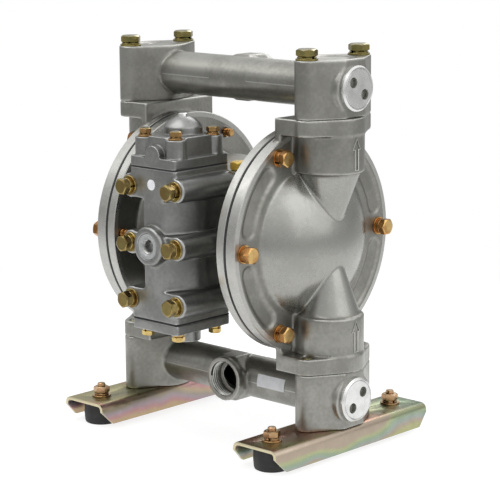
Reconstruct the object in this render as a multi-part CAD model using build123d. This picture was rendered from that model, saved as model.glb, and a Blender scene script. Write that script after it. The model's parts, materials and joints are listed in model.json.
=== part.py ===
"""Air operated diaphragm pump, one inch, with cast aluminium chambers, on two folded steel rails.

X runs along the two manifolds, the valve body faces -Y, and Z points up from the floor. The pieces are
modelled about the chambers' centre line, and each is lifted by axis_height when it is written.
"""

from build123d import *
import math
import os

# Whole pump
running_clearance = 0.05
seated_clearance = 0.02
resting_gap = 0.3
bolt_hole_clearance = 0.5

# Diaphragms and the flanges that clamp them
diaphragm_x = 76.0
diaphragm_thickness = 2.2
flange_radius = 104.0
cover_flange_thickness = 11.4
disc_rim_thickness = 9.0
flange_edge_chamfer = 1.0
chamber_bolt_edge = 11.8
chamber_bolt_count = 6
chamber_bolt_tail = 8.0

# Fluid cover: a domed casting with a neck above and below
dome_centre_x = 30.0
dome_radius = 92.0
dome_wall = 5.5
neck_x = 107.5
neck_radius = 31.5
neck_start_z = 65.0
neck_flange_thickness = 15.0
joint_z = 115.0
duct_radius = 28.0
duct_tip_radius = 11.8
duct_tip_z = 20.0
duct_wall = 6.0
neck_back_half_width = 28.0
neck_plate_half_width = 45.0
neck_plate_thickness = 6.5
neck_plate_start_z = 60.0
neck_plate_corner = 3.0
pocket_edge = 16.0
pocket_width = 16.0
pocket_depth = 2.0
pocket_half_angle = 17.0

# Air discs and the centre body between them
chamber_radius = 66.0
disc_inner_x = 54.0
disc_boss_x = 49.0
disc_boss_radius = 70.0
disc_boss_base_radius = 75.0
centre_front_y = -47.0
centre_rear_y = 47.0
centre_half_height = 62.0
centre_corner_radius = 10.0
disc_screw_y = 36.0
disc_screw_z = 42.0
disc_screw_depth = 18.0
disc_screw_head_radius = 6.4
disc_screw_head_height = 8.0

# Centre rod and its plates
rod_radius = 10.0
rod_bore_clearance = 1.0
rod_stud_radius = 7.0
plate_radius = 47.0
inner_plate_thickness = 5.2
outer_plate_thickness = 7.6
rod_nut_flats = 22.0
rod_nut_height = 8.0
rod_stud_tail = 2.0
rod_stroke = 12.0
bushing_radius = 13.0
bushing_length = 20.0
seal_length = 4.0

# Pilot spindle above the rod
spindle_z = 27.0
spindle_radius = 4.0
spindle_travel = 2.0
spindle_waist_radius = 2.8
spindle_land_length = 9.0
spindle_land_count = 5

# Valve body and the spool inside it
valve_half_width = 28.5
valve_front_y = -117.0
valve_end_height = 6.5
valve_corner_radius = 2.5
gasket_thickness = 1.0
spool_y = -77.0
spool_housing_radius = 28.5
band_half_width = 15.5
band_corner_radius = 7.0
rear_half_width = 26.0
row_band_height = 28.0
middle_band_half_height = 10.0
valve_bolt_x = 28.7
valve_bolt_end_distance = 10.0
valve_boss_radius = 11.0
valve_boss_face_y = -117.5
valve_bolt_engagement = 16.0
sleeve_radius = 14.0
spool_radius = 10.0
spool_waist_radius = 6.0
spool_length = 124.0
spool_land_length = 16.0
spool_land_count = 4
sleeve_window_height = 8.0
sleeve_window_half_width = 6.0
air_boss_radius = 18.0
air_boss_face_y = -125.0
air_boss_round = 2.5
air_bushing_radius = 11.8
air_bushing_length = 14.0
air_thread_radius = 5.85
air_mouth_radius = 6.9
air_port_radius = 4.5
air_passage_radius = 6.0
air_passage_x = 20.0
air_passage_y = -22.0
air_passage_z = -26.0
exhaust_z = -34.0
exhaust_radius = 9.0
valve_exhaust_radius = 4.5

# Valve top cover, bottom cover and reset button
cover_plate_thickness = 9.0
cover_step = 3.5
cover_body_height = 18.0
cover_boss_height = 16.7
cover_boss_radius = 9.0
cover_bolt_x = 19.5
cover_bolt_front_y = -106.0
cover_bolt_rear_y = -59.0
cover_arch_radius = 9.2
cover_arch_rise = 1.5
cap_radius = 18.0
cap_height = 6.5
cap_dome_height = 10.0
bottom_boss_radius = 13.5
bottom_boss_height = 14.0
button_radius = 4.6
button_proud = 2.0
button_travel = 1.6
button_flange_radius = 7.0
button_flange_thickness = 2.5
button_pin_radius = 2.2
button_shoulder_height = 3.0
spring_wire = 1.0
spring_radius = 5.4
spring_turns = 4
spring_plug_thickness = 4.0

# Manifolds
manifold_rise = 26.2
manifold_end_x = 111.7
manifold_bolt_y = 35.1
block_radius = 28.8
block_ear_radius = 11.0
block_height = 52.0
block_relief_depth = 1.5
block_relief_radius = 20.0
tube_radius = 19.8
tube_bore_radius = 13.5
end_boss_radius = 23.5
end_boss_x = 137.5
plug_face_x = 141.9
plug_radius = 20.3
plug_thread_radius = 17.0
plug_thread_length = 12.0
plug_chamfer = 1.2
plug_hole_radius = 4.8
plug_hole_offset = 9.5
plug_hole_depth = 4.0
port_radius = 21.0
port_reach = 28.9
port_collar_sides = 8
port_collar_half_flats = 21.5
port_collar_front = 22.0
port_thread_radius = 15.15
port_thread_length = 13.0
port_mouth_radius = 16.6
port_passage_radius = 12.5

# Valve balls and seats
ball_radius = 15.0
ball_lift = 8.0
cage_radius = 19.0
cage_roof_wall = 9.0
seat_radius = 22.0
seat_height = 8.0
seat_bore_radius = 11.5
seat_cone_height = 3.0
ball_stop_width = 6.0
ball_stop_height = 8.0
seal_ring_radius = 20.8
seal_ring_width = 2.4
seal_ring_height = 1.6

# Rails and feet
rail_width = 50.0
rail_flare = 3.0
rail_half_length = 105.5
rail_depth = 20.5
rail_sheet = 3.0
rail_bend_radius = 6.0
rail_corner_cut = 12.5
foot_y = 82.3
foot_radius = 17.0
foot_height = 22.0
foot_edge_chamfer = 1.5
foot_plate_thickness = 2.0
foot_stud_tail = 13.0

# Exhaust silencer on the rear of the centre body
silencer_radius = 19.0
silencer_length = 69.5
silencer_hex_flats = 30.0
silencer_hex_length = 13.0
silencer_thread_radius = 12.0
silencer_thread_length = 14.0
silencer_slots = 4
silencer_slot_width = 3.0
silencer_slot_depth = 4.0

# Small plug on top of the centre body
vent_x = 30.0
vent_y = -35.0
vent_flats = 16.0
vent_height = 8.0
vent_thread_radius = 5.0
vent_thread_length = 5.0

# Fasteners: thread radius, width across flats, head height, washer radius, washer stack
M10 = {"thread": 5.0, "flats": 17.0, "head": 7.0, "washer": 10.0, "stack": 3.0}
M8_CHAMBER = {"thread": 4.0, "flats": 14.0, "head": 6.5, "washer": 8.4, "stack": 5.5}
M8 = {"thread": 4.0, "flats": 13.5, "head": 7.0, "washer": 9.0, "stack": 5.0}
M6 = {"thread": 3.0, "flats": 10.5, "head": 4.8, "washer": 6.4, "stack": 2.8}
M8_NUT = {"thread": 4.0, "flats": 13.5, "head": 6.5, "washer": 9.0, "stack": 3.4}

# Places that follow from the sizes above
sheet_inner_x = diaphragm_x - diaphragm_thickness / 2
sheet_outer_x = diaphragm_x + diaphragm_thickness / 2
cover_face_x = sheet_outer_x + cover_flange_thickness
disc_rim_x = sheet_inner_x - disc_rim_thickness
cavity_radius = dome_radius - dome_wall
chamber_bolt_circle = flange_radius - chamber_bolt_edge
pocket_radius = flange_radius - pocket_edge
neck_flange_z = joint_z - neck_flange_thickness
manifold_z = joint_z + manifold_rise
block_top_z = joint_z + block_height
axis_height = block_top_z + rail_sheet + foot_height
inner_plate_x = sheet_inner_x - inner_plate_thickness
outer_plate_x = sheet_outer_x + outer_plate_thickness
rod_nut_x = outer_plate_x + rod_nut_height
spindle_half_length = inner_plate_x - rod_stroke - spindle_travel - resting_gap
valve_rear_y = centre_front_y - gasket_thickness
valve_outer_row_z = centre_half_height - valve_bolt_end_distance
valve_bolt_rows = (-valve_outer_row_z, 0.0, valve_outer_row_z)
valve_half_height = valve_outer_row_z + valve_boss_radius + valve_end_height
cover_base_z = valve_half_height + gasket_thickness
cover_step_z = cover_base_z + cover_plate_thickness
cover_body_z = cover_step_z + cover_body_height
cover_boss_z = cover_step_z + cover_boss_height
cap_top_z = cover_body_z + cap_height
cap_crown_z = cap_top_z + cap_dome_height
button_shoulder_z = cap_top_z + button_shoulder_height
spring_chamber_radius = button_flange_radius + bolt_hole_clearance
seat_ball_drop = math.sqrt(ball_radius**2 - seat_bore_radius**2) - seat_cone_height
rail_top_z = -block_top_z
floor_z = -axis_height
foot_top_z = rail_top_z - rail_sheet


def bar_x(radius, start, end, y=0.0, z=0.0):
    """A round bar along X between two places."""
    return Pos((start + end) / 2, y, z) * Rot(0, 90, 0) * Cylinder(radius, abs(end - start))


def bar_y(radius, start, end, x=0.0, z=0.0):
    """A round bar along Y between two places."""
    return Pos(x, (start + end) / 2, z) * Rot(90, 0, 0) * Cylinder(radius, abs(end - start))


def bar_z(radius, start, end, x=0.0, y=0.0):
    """A round bar along Z between two places."""
    return Pos(x, y, (start + end) / 2) * Cylinder(radius, abs(end - start))


def block(x_span, y_span, z_span):
    """A box between its low and high place on each axis."""
    spans = (x_span, y_span, z_span)
    middle = [(low + high) / 2 for low, high in spans]
    return Pos(*middle) * Box(*[abs(high - low) for low, high in spans])


def hexagon_bar(flats, length):
    """A hexagon bar that stands on the ground plane."""
    return extrude(RegularPolygon(flats / 2, 6, major_radius=False), length)


def bolt(size, shank_length):
    """A hexagon bolt with its washers, seated on the ground plane, with its shank down the -Z axis."""
    washer = bar_z(size["washer"], 0, size["stack"])
    head = Pos(0, 0, size["stack"]) * hexagon_bar(size["flats"], size["head"])
    shank = bar_z(size["thread"], -shank_length, 0)
    return washer + head + shank


def ball_cap(sphere_radius, height):
    """The cap of a ball, with its flat side on the ground plane."""
    centre_z = height - sphere_radius
    start_angle = math.degrees(math.asin(-centre_z / sphere_radius))
    arc = CenterArc((0, centre_z), sphere_radius, start_angle, 90 - start_angle)
    half = make_face([arc, Line(arc @ 1, (0, 0)), Line((0, 0), arc @ 0)])
    return revolve(Plane.XZ * half, Axis.Z)


def other_side(shape):
    """The same piece on the -X side."""
    return mirror(shape, Plane.YZ)


def upside_down(shape):
    """The same piece below the centre line."""
    return mirror(shape, Plane.XY)


def bolt_circle_places(radius, count):
    """The (y, z) places of a bolt circle around the X axis, the first one level with it."""
    angles = [2 * math.pi * i / count for i in range(count)]
    return [(radius * math.cos(a), radius * math.sin(a)) for a in angles]


def oval_plan():
    """The two-bolt oval of a manifold joint."""
    ears = [Pos(0, side * manifold_bolt_y) * Circle(block_ear_radius) for side in (-1, 1)]
    edges = Circle(block_radius).edges() + ears[0].edges() + ears[1].edges()
    return Pos(manifold_end_x, 0) * make_hull(edges)


def manifold_bolt_holes(low, high):
    """Clearance holes for the two bolts of a manifold joint."""
    radius = M10["thread"] + bolt_hole_clearance
    holes = [bar_z(radius, low, high, manifold_end_x, side * manifold_bolt_y) for side in (-1, 1)]
    return holes[0] + holes[1]


def neck():
    """The upper neck of a fluid cover, with its tapered duct running down over the dome."""
    collar = bar_z(neck_radius, neck_start_z, neck_flange_z, neck_x)
    back = block((cover_face_x, neck_x), (-neck_back_half_width, neck_back_half_width),
                 (neck_start_z, neck_flange_z))
    plate_inner_x = cover_face_x - neck_plate_thickness
    plate = block((plate_inner_x, cover_face_x), (-neck_plate_half_width, neck_plate_half_width),
                  (neck_plate_start_z, joint_z))
    deck = block((plate_inner_x, manifold_end_x), (-neck_plate_half_width, neck_plate_half_width),
                 (neck_flange_z, joint_z))
    deck = fillet(deck.edges().filter_by(Axis.Z), neck_plate_corner)
    flange = extrude(Pos(0, 0, neck_flange_z) * oval_plan(), joint_z - neck_flange_z)
    duct_height = neck_start_z - duct_tip_z
    duct = Pos(neck_x, 0, (neck_start_z + duct_tip_z) / 2) * Cone(duct_tip_radius, duct_radius, duct_height)
    casting = collar + back + plate + deck + flange + duct
    return casting - block((0, plate_inner_x), (-neck_radius, neck_radius), (0, joint_z))


def neck_passage():
    """The space inside a neck: the seat's recess, the ball's cage and the duct into the chamber."""
    seat = bar_z(seat_radius + seated_clearance, joint_z - seat_height, joint_z, neck_x)
    turn_z = neck_start_z - (duct_radius - duct_wall - cage_radius) * (
        (neck_start_z - duct_tip_z) / (duct_radius - duct_tip_radius))
    cage = bar_z(cage_radius, turn_z, joint_z, neck_x)
    taper = Pos(neck_x, 0, (turn_z + duct_tip_z) / 2) * Cone(
        duct_tip_radius - duct_wall, cage_radius, turn_z - duct_tip_z)
    return seat + cage + taper


def ball_stop(top_z):
    """A cast bar across the inlet cage that stops the lifted ball."""
    half = ball_stop_width / 2
    reach = cage_radius + duct_wall / 2
    return block((neck_x - reach, neck_x + reach), (-half, half), (top_z, top_z + ball_stop_height))


def fluid_cover():
    """The right fluid cover, a hollow casting that closes the pumping side of its diaphragm."""
    solid = bar_x(flange_radius, sheet_outer_x, cover_face_x)
    rim = solid.edges().filter_by(GeomType.CIRCLE).sort_by(Axis.X)[-1]
    solid = chamfer(rim, flange_edge_chamfer)
    solid += dome(dome_radius)
    upper = neck()
    solid += upper
    solid += upside_down(upper)
    for quarter in (30.0, 150.0, 210.0, 330.0):
        solid -= flange_pocket(quarter)
    passage = neck_passage()
    solid -= dome(cavity_radius)
    solid -= passage
    solid -= upside_down(passage)
    inlet_ball_top = -joint_z + seat_height + seat_ball_drop + resting_gap + ball_radius
    solid += ball_stop(inlet_ball_top + ball_lift + resting_gap)
    for y, z in bolt_circle_places(chamber_bolt_circle, chamber_bolt_count):
        solid -= bar_x(M8_CHAMBER["thread"] + bolt_hole_clearance, sheet_outer_x, cover_face_x, y, z)
    holes = manifold_bolt_holes(neck_flange_z, joint_z)
    return solid - holes - upside_down(holes)


def dome(radius):
    """The dome of a cover, or the space under it, from the diaphragm outwards."""
    height = dome_centre_x + radius - sheet_outer_x
    return Pos(sheet_outer_x, 0, 0) * Rot(0, 90, 0) * ball_cap(radius, height)


def flange_pocket(angle):
    """A shallow kidney pocket in the outer face of the cover flange, between two bolts."""
    arc = CenterArc((0, 0), pocket_radius, angle - pocket_half_angle, 2 * pocket_half_angle)
    kidney = Plane((cover_face_x - pocket_depth, 0, 0), x_dir=(0, 1, 0), z_dir=(1, 0, 0)) * SlotArc(
        arc, pocket_width)
    return extrude(kidney, pocket_depth)


def air_disc():
    """The right air disc, which closes the air side of its diaphragm against the centre body."""
    boss_length = disc_rim_x - disc_boss_x
    boss = Pos((disc_rim_x + disc_boss_x) / 2, 0, 0) * Rot(0, 90, 0) * Cone(
        disc_boss_radius, disc_boss_base_radius, boss_length)
    solid = bar_x(flange_radius, disc_rim_x, sheet_inner_x) + boss
    solid -= bar_x(chamber_radius, disc_inner_x, sheet_inner_x)
    solid -= bar_x(rod_radius + rod_bore_clearance, disc_boss_x, disc_inner_x)
    solid -= bar_x(spindle_radius + bolt_hole_clearance, disc_boss_x, disc_inner_x, 0, spindle_z)
    solid -= bar_x(air_passage_radius, disc_boss_x, disc_inner_x, air_passage_y, air_passage_z)
    for y, z in bolt_circle_places(chamber_bolt_circle, chamber_bolt_count):
        solid -= bar_x(M8_CHAMBER["thread"] + bolt_hole_clearance, disc_rim_x, sheet_inner_x, y, z)
    for y, z in disc_screw_places():
        solid -= bar_x(M8["thread"] + bolt_hole_clearance, disc_boss_x, disc_inner_x, y, z)
    return solid


def disc_screw_places():
    """The (y, z) places of the four screws that hold an air disc to the centre body."""
    return [(y, z) for y in (-disc_screw_y, disc_screw_y) for z in (-disc_screw_z, disc_screw_z)]


def disc_screws():
    """The four screws of the right air disc, put in from the air chamber."""
    screws = []
    for y, z in disc_screw_places():
        head = bar_x(disc_screw_head_radius, disc_inner_x, disc_inner_x + disc_screw_head_height, y, z)
        screws.append(head + bar_x(M8["thread"], disc_boss_x - disc_screw_depth, disc_inner_x, y, z))
    return Compound(children=screws)


def centre_body():
    """The block between the air discs, which guides the rod and carries the valve body."""
    solid = block((-disc_boss_x, disc_boss_x), (centre_front_y, centre_rear_y),
                  (-centre_half_height, centre_half_height))
    rear = solid.edges().filter_by(Axis.X).sort_by(Axis.Y)[-2:]
    solid = fillet(rear, centre_corner_radius)
    solid -= bar_x(rod_radius + rod_bore_clearance, -disc_boss_x, disc_boss_x)
    solid -= bar_x(spindle_radius + running_clearance, -disc_boss_x, disc_boss_x, 0, spindle_z)
    solid -= bar_y(exhaust_radius, centre_front_y, centre_rear_y, 0, exhaust_z)
    solid -= bar_y(silencer_thread_radius + seated_clearance, centre_rear_y - silencer_thread_length,
                   centre_rear_y, 0, exhaust_z)
    solid -= bar_z(vent_thread_radius + seated_clearance, centre_half_height - vent_thread_length,
                   centre_half_height, vent_x, vent_y)
    for side in (-1, 1):
        pocket_end = disc_boss_x - seal_length - bushing_length
        solid -= bar_x(bushing_radius + seated_clearance, side * pocket_end, side * disc_boss_x)
        solid -= bar_y(air_passage_radius, centre_front_y, air_passage_y, side * air_passage_x, air_passage_z)
        solid -= bar_x(air_passage_radius, side * air_passage_x, side * disc_boss_x, air_passage_y,
                       air_passage_z)
        for y, z in disc_screw_places():
            solid -= bar_x(M8["thread"] + seated_clearance, side * (disc_boss_x - disc_screw_depth),
                           side * disc_boss_x, y, z)
        for z in valve_bolt_rows:
            solid -= bar_y(M8["thread"] + seated_clearance, centre_front_y,
                           centre_front_y + valve_bolt_engagement, side * valve_bolt_x, z)
    return solid


def rod_bushing():
    """The right bronze bushing of the centre rod."""
    outer_x = disc_boss_x - seal_length
    return bar_x(bushing_radius, outer_x - bushing_length, outer_x) - bar_x(
        rod_radius + running_clearance, outer_x - bushing_length, outer_x)


def rod_seal():
    """The right rod seal, outside its bushing."""
    outer_x = disc_boss_x - seal_length
    return bar_x(bushing_radius, outer_x, disc_boss_x) - bar_x(
        rod_radius + running_clearance, outer_x, disc_boss_x)


def centre_rod():
    """The rod that joins the two diaphragms, with a stud at each end."""
    tail_x = rod_nut_x + rod_stud_tail
    return bar_x(rod_radius, -inner_plate_x, inner_plate_x) + bar_x(rod_stud_radius, -tail_x, tail_x)


def plate(start, end):
    """A clamping plate of the diaphragm between two places on the rod."""
    return bar_x(plate_radius, start, end) - bar_x(rod_stud_radius + seated_clearance, start, end)


def rod_nut():
    """The right nut that clamps the diaphragm's plates."""
    nut = Pos(outer_plate_x, 0, 0) * Rot(0, 90, 0) * hexagon_bar(rod_nut_flats, rod_nut_height)
    return nut - bar_x(rod_stud_radius + seated_clearance, outer_plate_x, rod_nut_x)


def diaphragm():
    """The right diaphragm, a reinforced rubber sheet clamped at its rim and at its centre."""
    sheet = bar_x(flange_radius, sheet_inner_x, sheet_outer_x)
    sheet -= bar_x(rod_stud_radius + seated_clearance, sheet_inner_x, sheet_outer_x)
    for y, z in bolt_circle_places(chamber_bolt_circle, chamber_bolt_count):
        sheet -= bar_x(M8_CHAMBER["thread"] + bolt_hole_clearance, sheet_inner_x, sheet_outer_x, y, z)
    return sheet


def chamber_bolts():
    """The six bolts of the right chamber, whose tails come through the disc."""
    shank = cover_face_x - disc_rim_x + chamber_bolt_tail
    bolts = []
    for y, z in bolt_circle_places(chamber_bolt_circle, chamber_bolt_count):
        bolts.append(Pos(cover_face_x, y, z) * Rot(0, 90, 0) * bolt(M8_CHAMBER, shank))
    return Compound(children=bolts)


def pilot_spindle():
    """The spindle that the diaphragm plates push across to shift the spool."""
    solid = bar_x(spindle_waist_radius, -spindle_half_length, spindle_half_length, 0, spindle_z)
    step = (2 * spindle_half_length - spindle_land_length) / (spindle_land_count - 1)
    for i in range(spindle_land_count):
        start = -spindle_half_length + i * step
        solid += bar_x(spindle_radius, start, start + spindle_land_length, 0, spindle_z)
    return solid


def housing_plan():
    """The plan of the spool housing: a barrel that narrows to a flat front and runs back to the gasket."""
    front_x = band_half_width - band_corner_radius
    rear_x = rear_half_width - valve_corner_radius
    edges = (Pos(0, spool_y) * Circle(spool_housing_radius)).edges()
    for side in (-1, 1):
        front_corner = Pos(side * front_x, valve_front_y + band_corner_radius) * Circle(band_corner_radius)
        rear_corner = Pos(side * rear_x, valve_rear_y - valve_corner_radius) * Circle(valve_corner_radius)
        edges += front_corner.edges()
        edges += rear_corner.edges()
    return make_hull(edges)


def valve_body():
    """The casting on the front, a spool housing with three rows of bolt bosses through it."""
    solid = extrude(housing_plan(), valve_half_height, both=True)
    row = block((-valve_half_width, valve_half_width), (valve_front_y, valve_rear_y),
                (valve_half_height - row_band_height, valve_half_height))
    row = fillet(row.edges().filter_by(Axis.Z), valve_corner_radius)
    solid += row
    solid += upside_down(row)
    solid += block((-valve_bolt_x, valve_bolt_x), (valve_front_y, valve_rear_y),
                   (-middle_band_half_height, middle_band_half_height))
    for side in (-1, 1):
        for z in valve_bolt_rows:
            solid += bar_y(valve_boss_radius, valve_boss_face_y, valve_rear_y, side * valve_bolt_x, z)
    air_boss = bar_y(air_boss_radius, air_boss_face_y, spool_y)
    solid += fillet(air_boss.edges().filter_by(GeomType.CIRCLE).sort_by(Axis.Y)[0], air_boss_round)
    for side in (-1, 1):
        for z in valve_bolt_rows:
            solid -= bar_y(M8["thread"] + bolt_hole_clearance, valve_boss_face_y, valve_rear_y,
                           side * valve_bolt_x, z)
        solid -= bar_y(air_passage_radius, spool_y, valve_rear_y, side * air_passage_x, air_passage_z)
        solid -= bar_x(air_passage_radius, 0, side * air_passage_x, spool_y, air_passage_z)
    solid -= bar_y(valve_exhaust_radius, spool_y, valve_rear_y, 0, exhaust_z)
    solid -= bar_z(sleeve_radius + seated_clearance, -valve_half_height, valve_half_height, 0, spool_y)
    solid -= bar_y(air_bushing_radius + seated_clearance, air_boss_face_y,
                   air_boss_face_y + air_bushing_length)
    solid -= bar_y(air_port_radius, air_boss_face_y, spool_y)
    for x, y in cover_bolt_places():
        solid -= bar_z(M6["thread"] + seated_clearance, valve_half_height - row_band_height / 2,
                       valve_half_height, x, y)
        solid -= bar_z(M6["thread"] + seated_clearance, -valve_half_height,
                       -valve_half_height + row_band_height / 2, x, y)
    return solid


def cover_bolt_places():
    """The (x, y) places of the four bolts of either valve cover."""
    return [(x, y) for x in (-cover_bolt_x, cover_bolt_x) for y in (cover_bolt_front_y, cover_bolt_rear_y)]


def air_bushing():
    """The threaded inlet bushing in the boss of the valve body."""
    bottom_y = air_boss_face_y + air_bushing_length
    mouth = air_mouth_radius - air_thread_radius
    ring = bar_y(air_bushing_radius, air_boss_face_y, bottom_y)
    ring -= bar_y(air_thread_radius, air_boss_face_y, bottom_y)
    return ring - Pos(0, air_boss_face_y + mouth / 2, 0) * Rot(-90, 0, 0) * Cone(
        air_mouth_radius, air_thread_radius, mouth)


def valve_sleeve():
    """The sleeve that the spool slides in, with windows for the inlet, the two chambers and the exhaust."""
    ring = bar_z(sleeve_radius, -valve_half_height, valve_half_height, 0, spool_y)
    ring -= bar_z(spool_radius, -valve_half_height, valve_half_height, 0, spool_y)
    across = (-sleeve_window_half_width, sleeve_window_half_width)
    reach = sleeve_radius + running_clearance
    for z, y_span in ((0.0, (spool_y - reach, spool_y)), (exhaust_z, (spool_y, spool_y + reach))):
        ring -= block(across, y_span, (z - sleeve_window_height / 2, z + sleeve_window_height / 2))
    ring -= block((-reach, reach), (spool_y + across[0], spool_y + across[1]),
                  (air_passage_z - sleeve_window_height / 2, air_passage_z + sleeve_window_height / 2))
    return ring


def spool():
    """The spool, which drops to the bottom of its sleeve when the air is off."""
    low = -cover_base_z + resting_gap
    solid = bar_z(spool_waist_radius, low, low + spool_length, 0, spool_y)
    step = (spool_length - spool_land_length) / (spool_land_count - 1)
    for i in range(spool_land_count):
        start = low + i * step
        solid += bar_z(spool_radius - running_clearance, start, start + spool_land_length, 0, spool_y)
    return solid


def cover_plan():
    """The outline shared by the valve body's ends, their gaskets and their covers."""
    width = 2 * valve_half_width
    depth = valve_rear_y - valve_front_y
    outline = RectangleRounded(width, depth, valve_corner_radius)
    return Pos(0, (valve_front_y + valve_rear_y) / 2) * outline


def cover_gasket():
    """The gasket under the valve top cover."""
    sheet = extrude(Pos(0, 0, valve_half_height) * cover_plan(), gasket_thickness)
    sheet -= bar_z(sleeve_radius, valve_half_height, cover_base_z, 0, spool_y)
    for x, y in cover_bolt_places():
        sheet -= bar_z(M6["thread"] + bolt_hole_clearance, valve_half_height, cover_base_z, x, y)
    return sheet


def rear_gasket():
    """The gasket between the valve body and the centre body."""
    sheet = block((-valve_half_width, valve_half_width), (valve_rear_y, centre_front_y),
                  (-valve_half_height + row_band_height / 2, valve_half_height - row_band_height / 2))
    sheet -= bar_y(exhaust_radius, valve_rear_y, centre_front_y, 0, exhaust_z)
    for side in (-1, 1):
        sheet -= bar_y(air_passage_radius, valve_rear_y, centre_front_y, side * air_passage_x, air_passage_z)
        for z in valve_bolt_rows:
            sheet -= bar_y(M8["thread"] + bolt_hole_clearance, valve_rear_y, centre_front_y,
                           side * valve_bolt_x, z)
    return sheet


def valve_top_cover():
    """The top cover: a stepped plate with corner bosses, a front arch and a round cap for the button."""
    solid = extrude(Pos(0, 0, cover_base_z) * cover_plan(), cover_plate_thickness)
    solid += block((-valve_half_width + cover_step, valve_half_width - cover_step),
                   (valve_front_y + 2 * cover_step, valve_rear_y - cover_step), (cover_step_z, cover_body_z))
    for x, y in cover_bolt_places():
        solid -= bar_z(cover_boss_radius, cover_boss_z, cover_body_z, x, y)
        solid += bar_z(cover_boss_radius, cover_step_z, cover_boss_z, x, y)
    arch_z = cover_step_z + cover_arch_rise
    solid += bar_y(cover_arch_radius, valve_front_y, spool_y, 0, arch_z)
    solid += block((-cover_arch_radius, cover_arch_radius), (valve_front_y, spool_y), (cover_base_z, arch_z))
    solid += bar_z(cap_radius, cover_body_z, cap_top_z, 0, spool_y)
    crown_radius = (cap_radius**2 + cap_dome_height**2) / (2 * cap_dome_height)
    solid += Pos(0, spool_y, cap_top_z) * ball_cap(crown_radius, cap_dome_height)
    solid -= bar_z(spring_chamber_radius, cover_base_z, button_shoulder_z, 0, spool_y)
    solid -= bar_z(button_radius + running_clearance, button_shoulder_z, cap_crown_z, 0, spool_y)
    for x, y in cover_bolt_places():
        solid -= bar_z(M6["thread"] + bolt_hole_clearance, cover_base_z, cover_boss_z, x, y)
    return solid


def reset_button():
    """The button in the cap, whose pin reaches down to the spool."""
    top = button_shoulder_z - seated_clearance
    flange_low = top - button_flange_thickness
    solid = bar_z(button_radius, flange_low, cap_crown_z + button_proud, 0, spool_y)
    solid += bar_z(button_flange_radius, flange_low, top, 0, spool_y)
    pin_low = cover_base_z + button_travel + resting_gap
    return solid + bar_z(button_pin_radius, pin_low, flange_low, 0, spool_y)


def spring_plug():
    """The plug under the button's spring, pressed into the top cover from below."""
    top = cover_step_z
    ring = bar_z(spring_chamber_radius - seated_clearance, top - spring_plug_thickness, top, 0, spool_y)
    return ring - bar_z(button_pin_radius + resting_gap, top - spring_plug_thickness, top, 0, spool_y)


def button_spring():
    """The coil spring that lifts the reset button."""
    low = cover_step_z + spring_wire / 2 + seated_clearance
    high = button_shoulder_z - button_flange_thickness - spring_wire / 2 - 2 * seated_clearance
    path = Helix((high - low) / spring_turns, high - low, spring_radius)
    section = Plane(origin=path @ 0, z_dir=path % 0) * Rectangle(spring_wire, spring_wire)
    return Pos(0, spool_y, low) * sweep(section, path, is_frenet=True)


def valve_bottom_cover():
    """The bottom cover, a plate with a round boss."""
    solid = extrude(Pos(0, 0, cover_base_z) * cover_plan(), cover_plate_thickness)
    solid += bar_z(bottom_boss_radius, cover_step_z, cover_step_z + bottom_boss_height, 0, spool_y)
    for x, y in cover_bolt_places():
        solid -= bar_z(M6["thread"] + bolt_hole_clearance, cover_base_z, cover_step_z, x, y)
    return upside_down(solid)


def cover_bolts(seat_z):
    """The four bolts of a valve cover, seated at a height above the valve body."""
    shank = seat_z - valve_half_height + row_band_height / 2 - resting_gap
    bolts = [Pos(x, y, seat_z) * bolt(M6, shank) for x, y in cover_bolt_places()]
    return Compound(children=bolts)


def valve_body_bolts():
    """The six long bolts that hold the valve body to the centre body."""
    shank = centre_front_y + valve_bolt_engagement - valve_boss_face_y - resting_gap
    bolts = []
    for x in (-valve_bolt_x, valve_bolt_x):
        for z in valve_bolt_rows:
            bolts.append(Pos(x, valve_boss_face_y, z) * Rot(90, 0, 0) * bolt(M8, shank))
    return Compound(children=bolts)


def manifold():
    """The outlet manifold: a tube between two oval blocks, with its port at the middle, facing +Y."""
    solid = bar_x(tube_radius, -manifold_end_x, manifold_end_x, 0, manifold_z)
    end = extrude(Pos(0, 0, joint_z) * oval_plan(), block_height)
    end -= block((end_boss_x, end_boss_x + block_radius), (-block_radius, block_radius),
                 (joint_z, block_top_z))
    end += bar_x(end_boss_radius, manifold_end_x, end_boss_x, 0, manifold_z)
    solid += end
    solid += other_side(end)
    octagon = RegularPolygon(port_collar_half_flats, port_collar_sides, major_radius=False)
    collar = Rot(-90, 0, 0) * Rot(0, 0, 180 / port_collar_sides) * extrude(octagon, port_collar_front)
    solid += Pos(0, 0, manifold_z) * collar
    solid += bar_y(port_radius, 0, port_reach, 0, manifold_z)
    plug_bore_x = end_boss_x - plug_thread_length
    solid -= bar_x(tube_bore_radius, -plug_bore_x, plug_bore_x, 0, manifold_z)
    mouth = port_mouth_radius - port_thread_radius
    solid -= bar_y(port_passage_radius, 0, port_reach, 0, manifold_z)
    solid -= bar_y(port_thread_radius, port_reach - mouth - port_thread_length, port_reach, 0, manifold_z)
    solid -= Pos(0, port_reach - mouth / 2, manifold_z) * Rot(-90, 0, 0) * Cone(
        port_thread_radius, port_mouth_radius, mouth)
    for side in (-1, 1):
        solid -= bar_x(plug_thread_radius + seated_clearance, side * plug_bore_x, side * end_boss_x, 0,
                       manifold_z)
        relief = Pos(side * manifold_end_x, 0, block_top_z - block_relief_depth) * Cylinder(
            block_relief_radius, block_relief_depth, align=(Align.CENTER, Align.CENTER, Align.MIN))
        solid -= relief
    holes = manifold_bolt_holes(joint_z, block_top_z)
    return solid - holes - other_side(holes)


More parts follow.
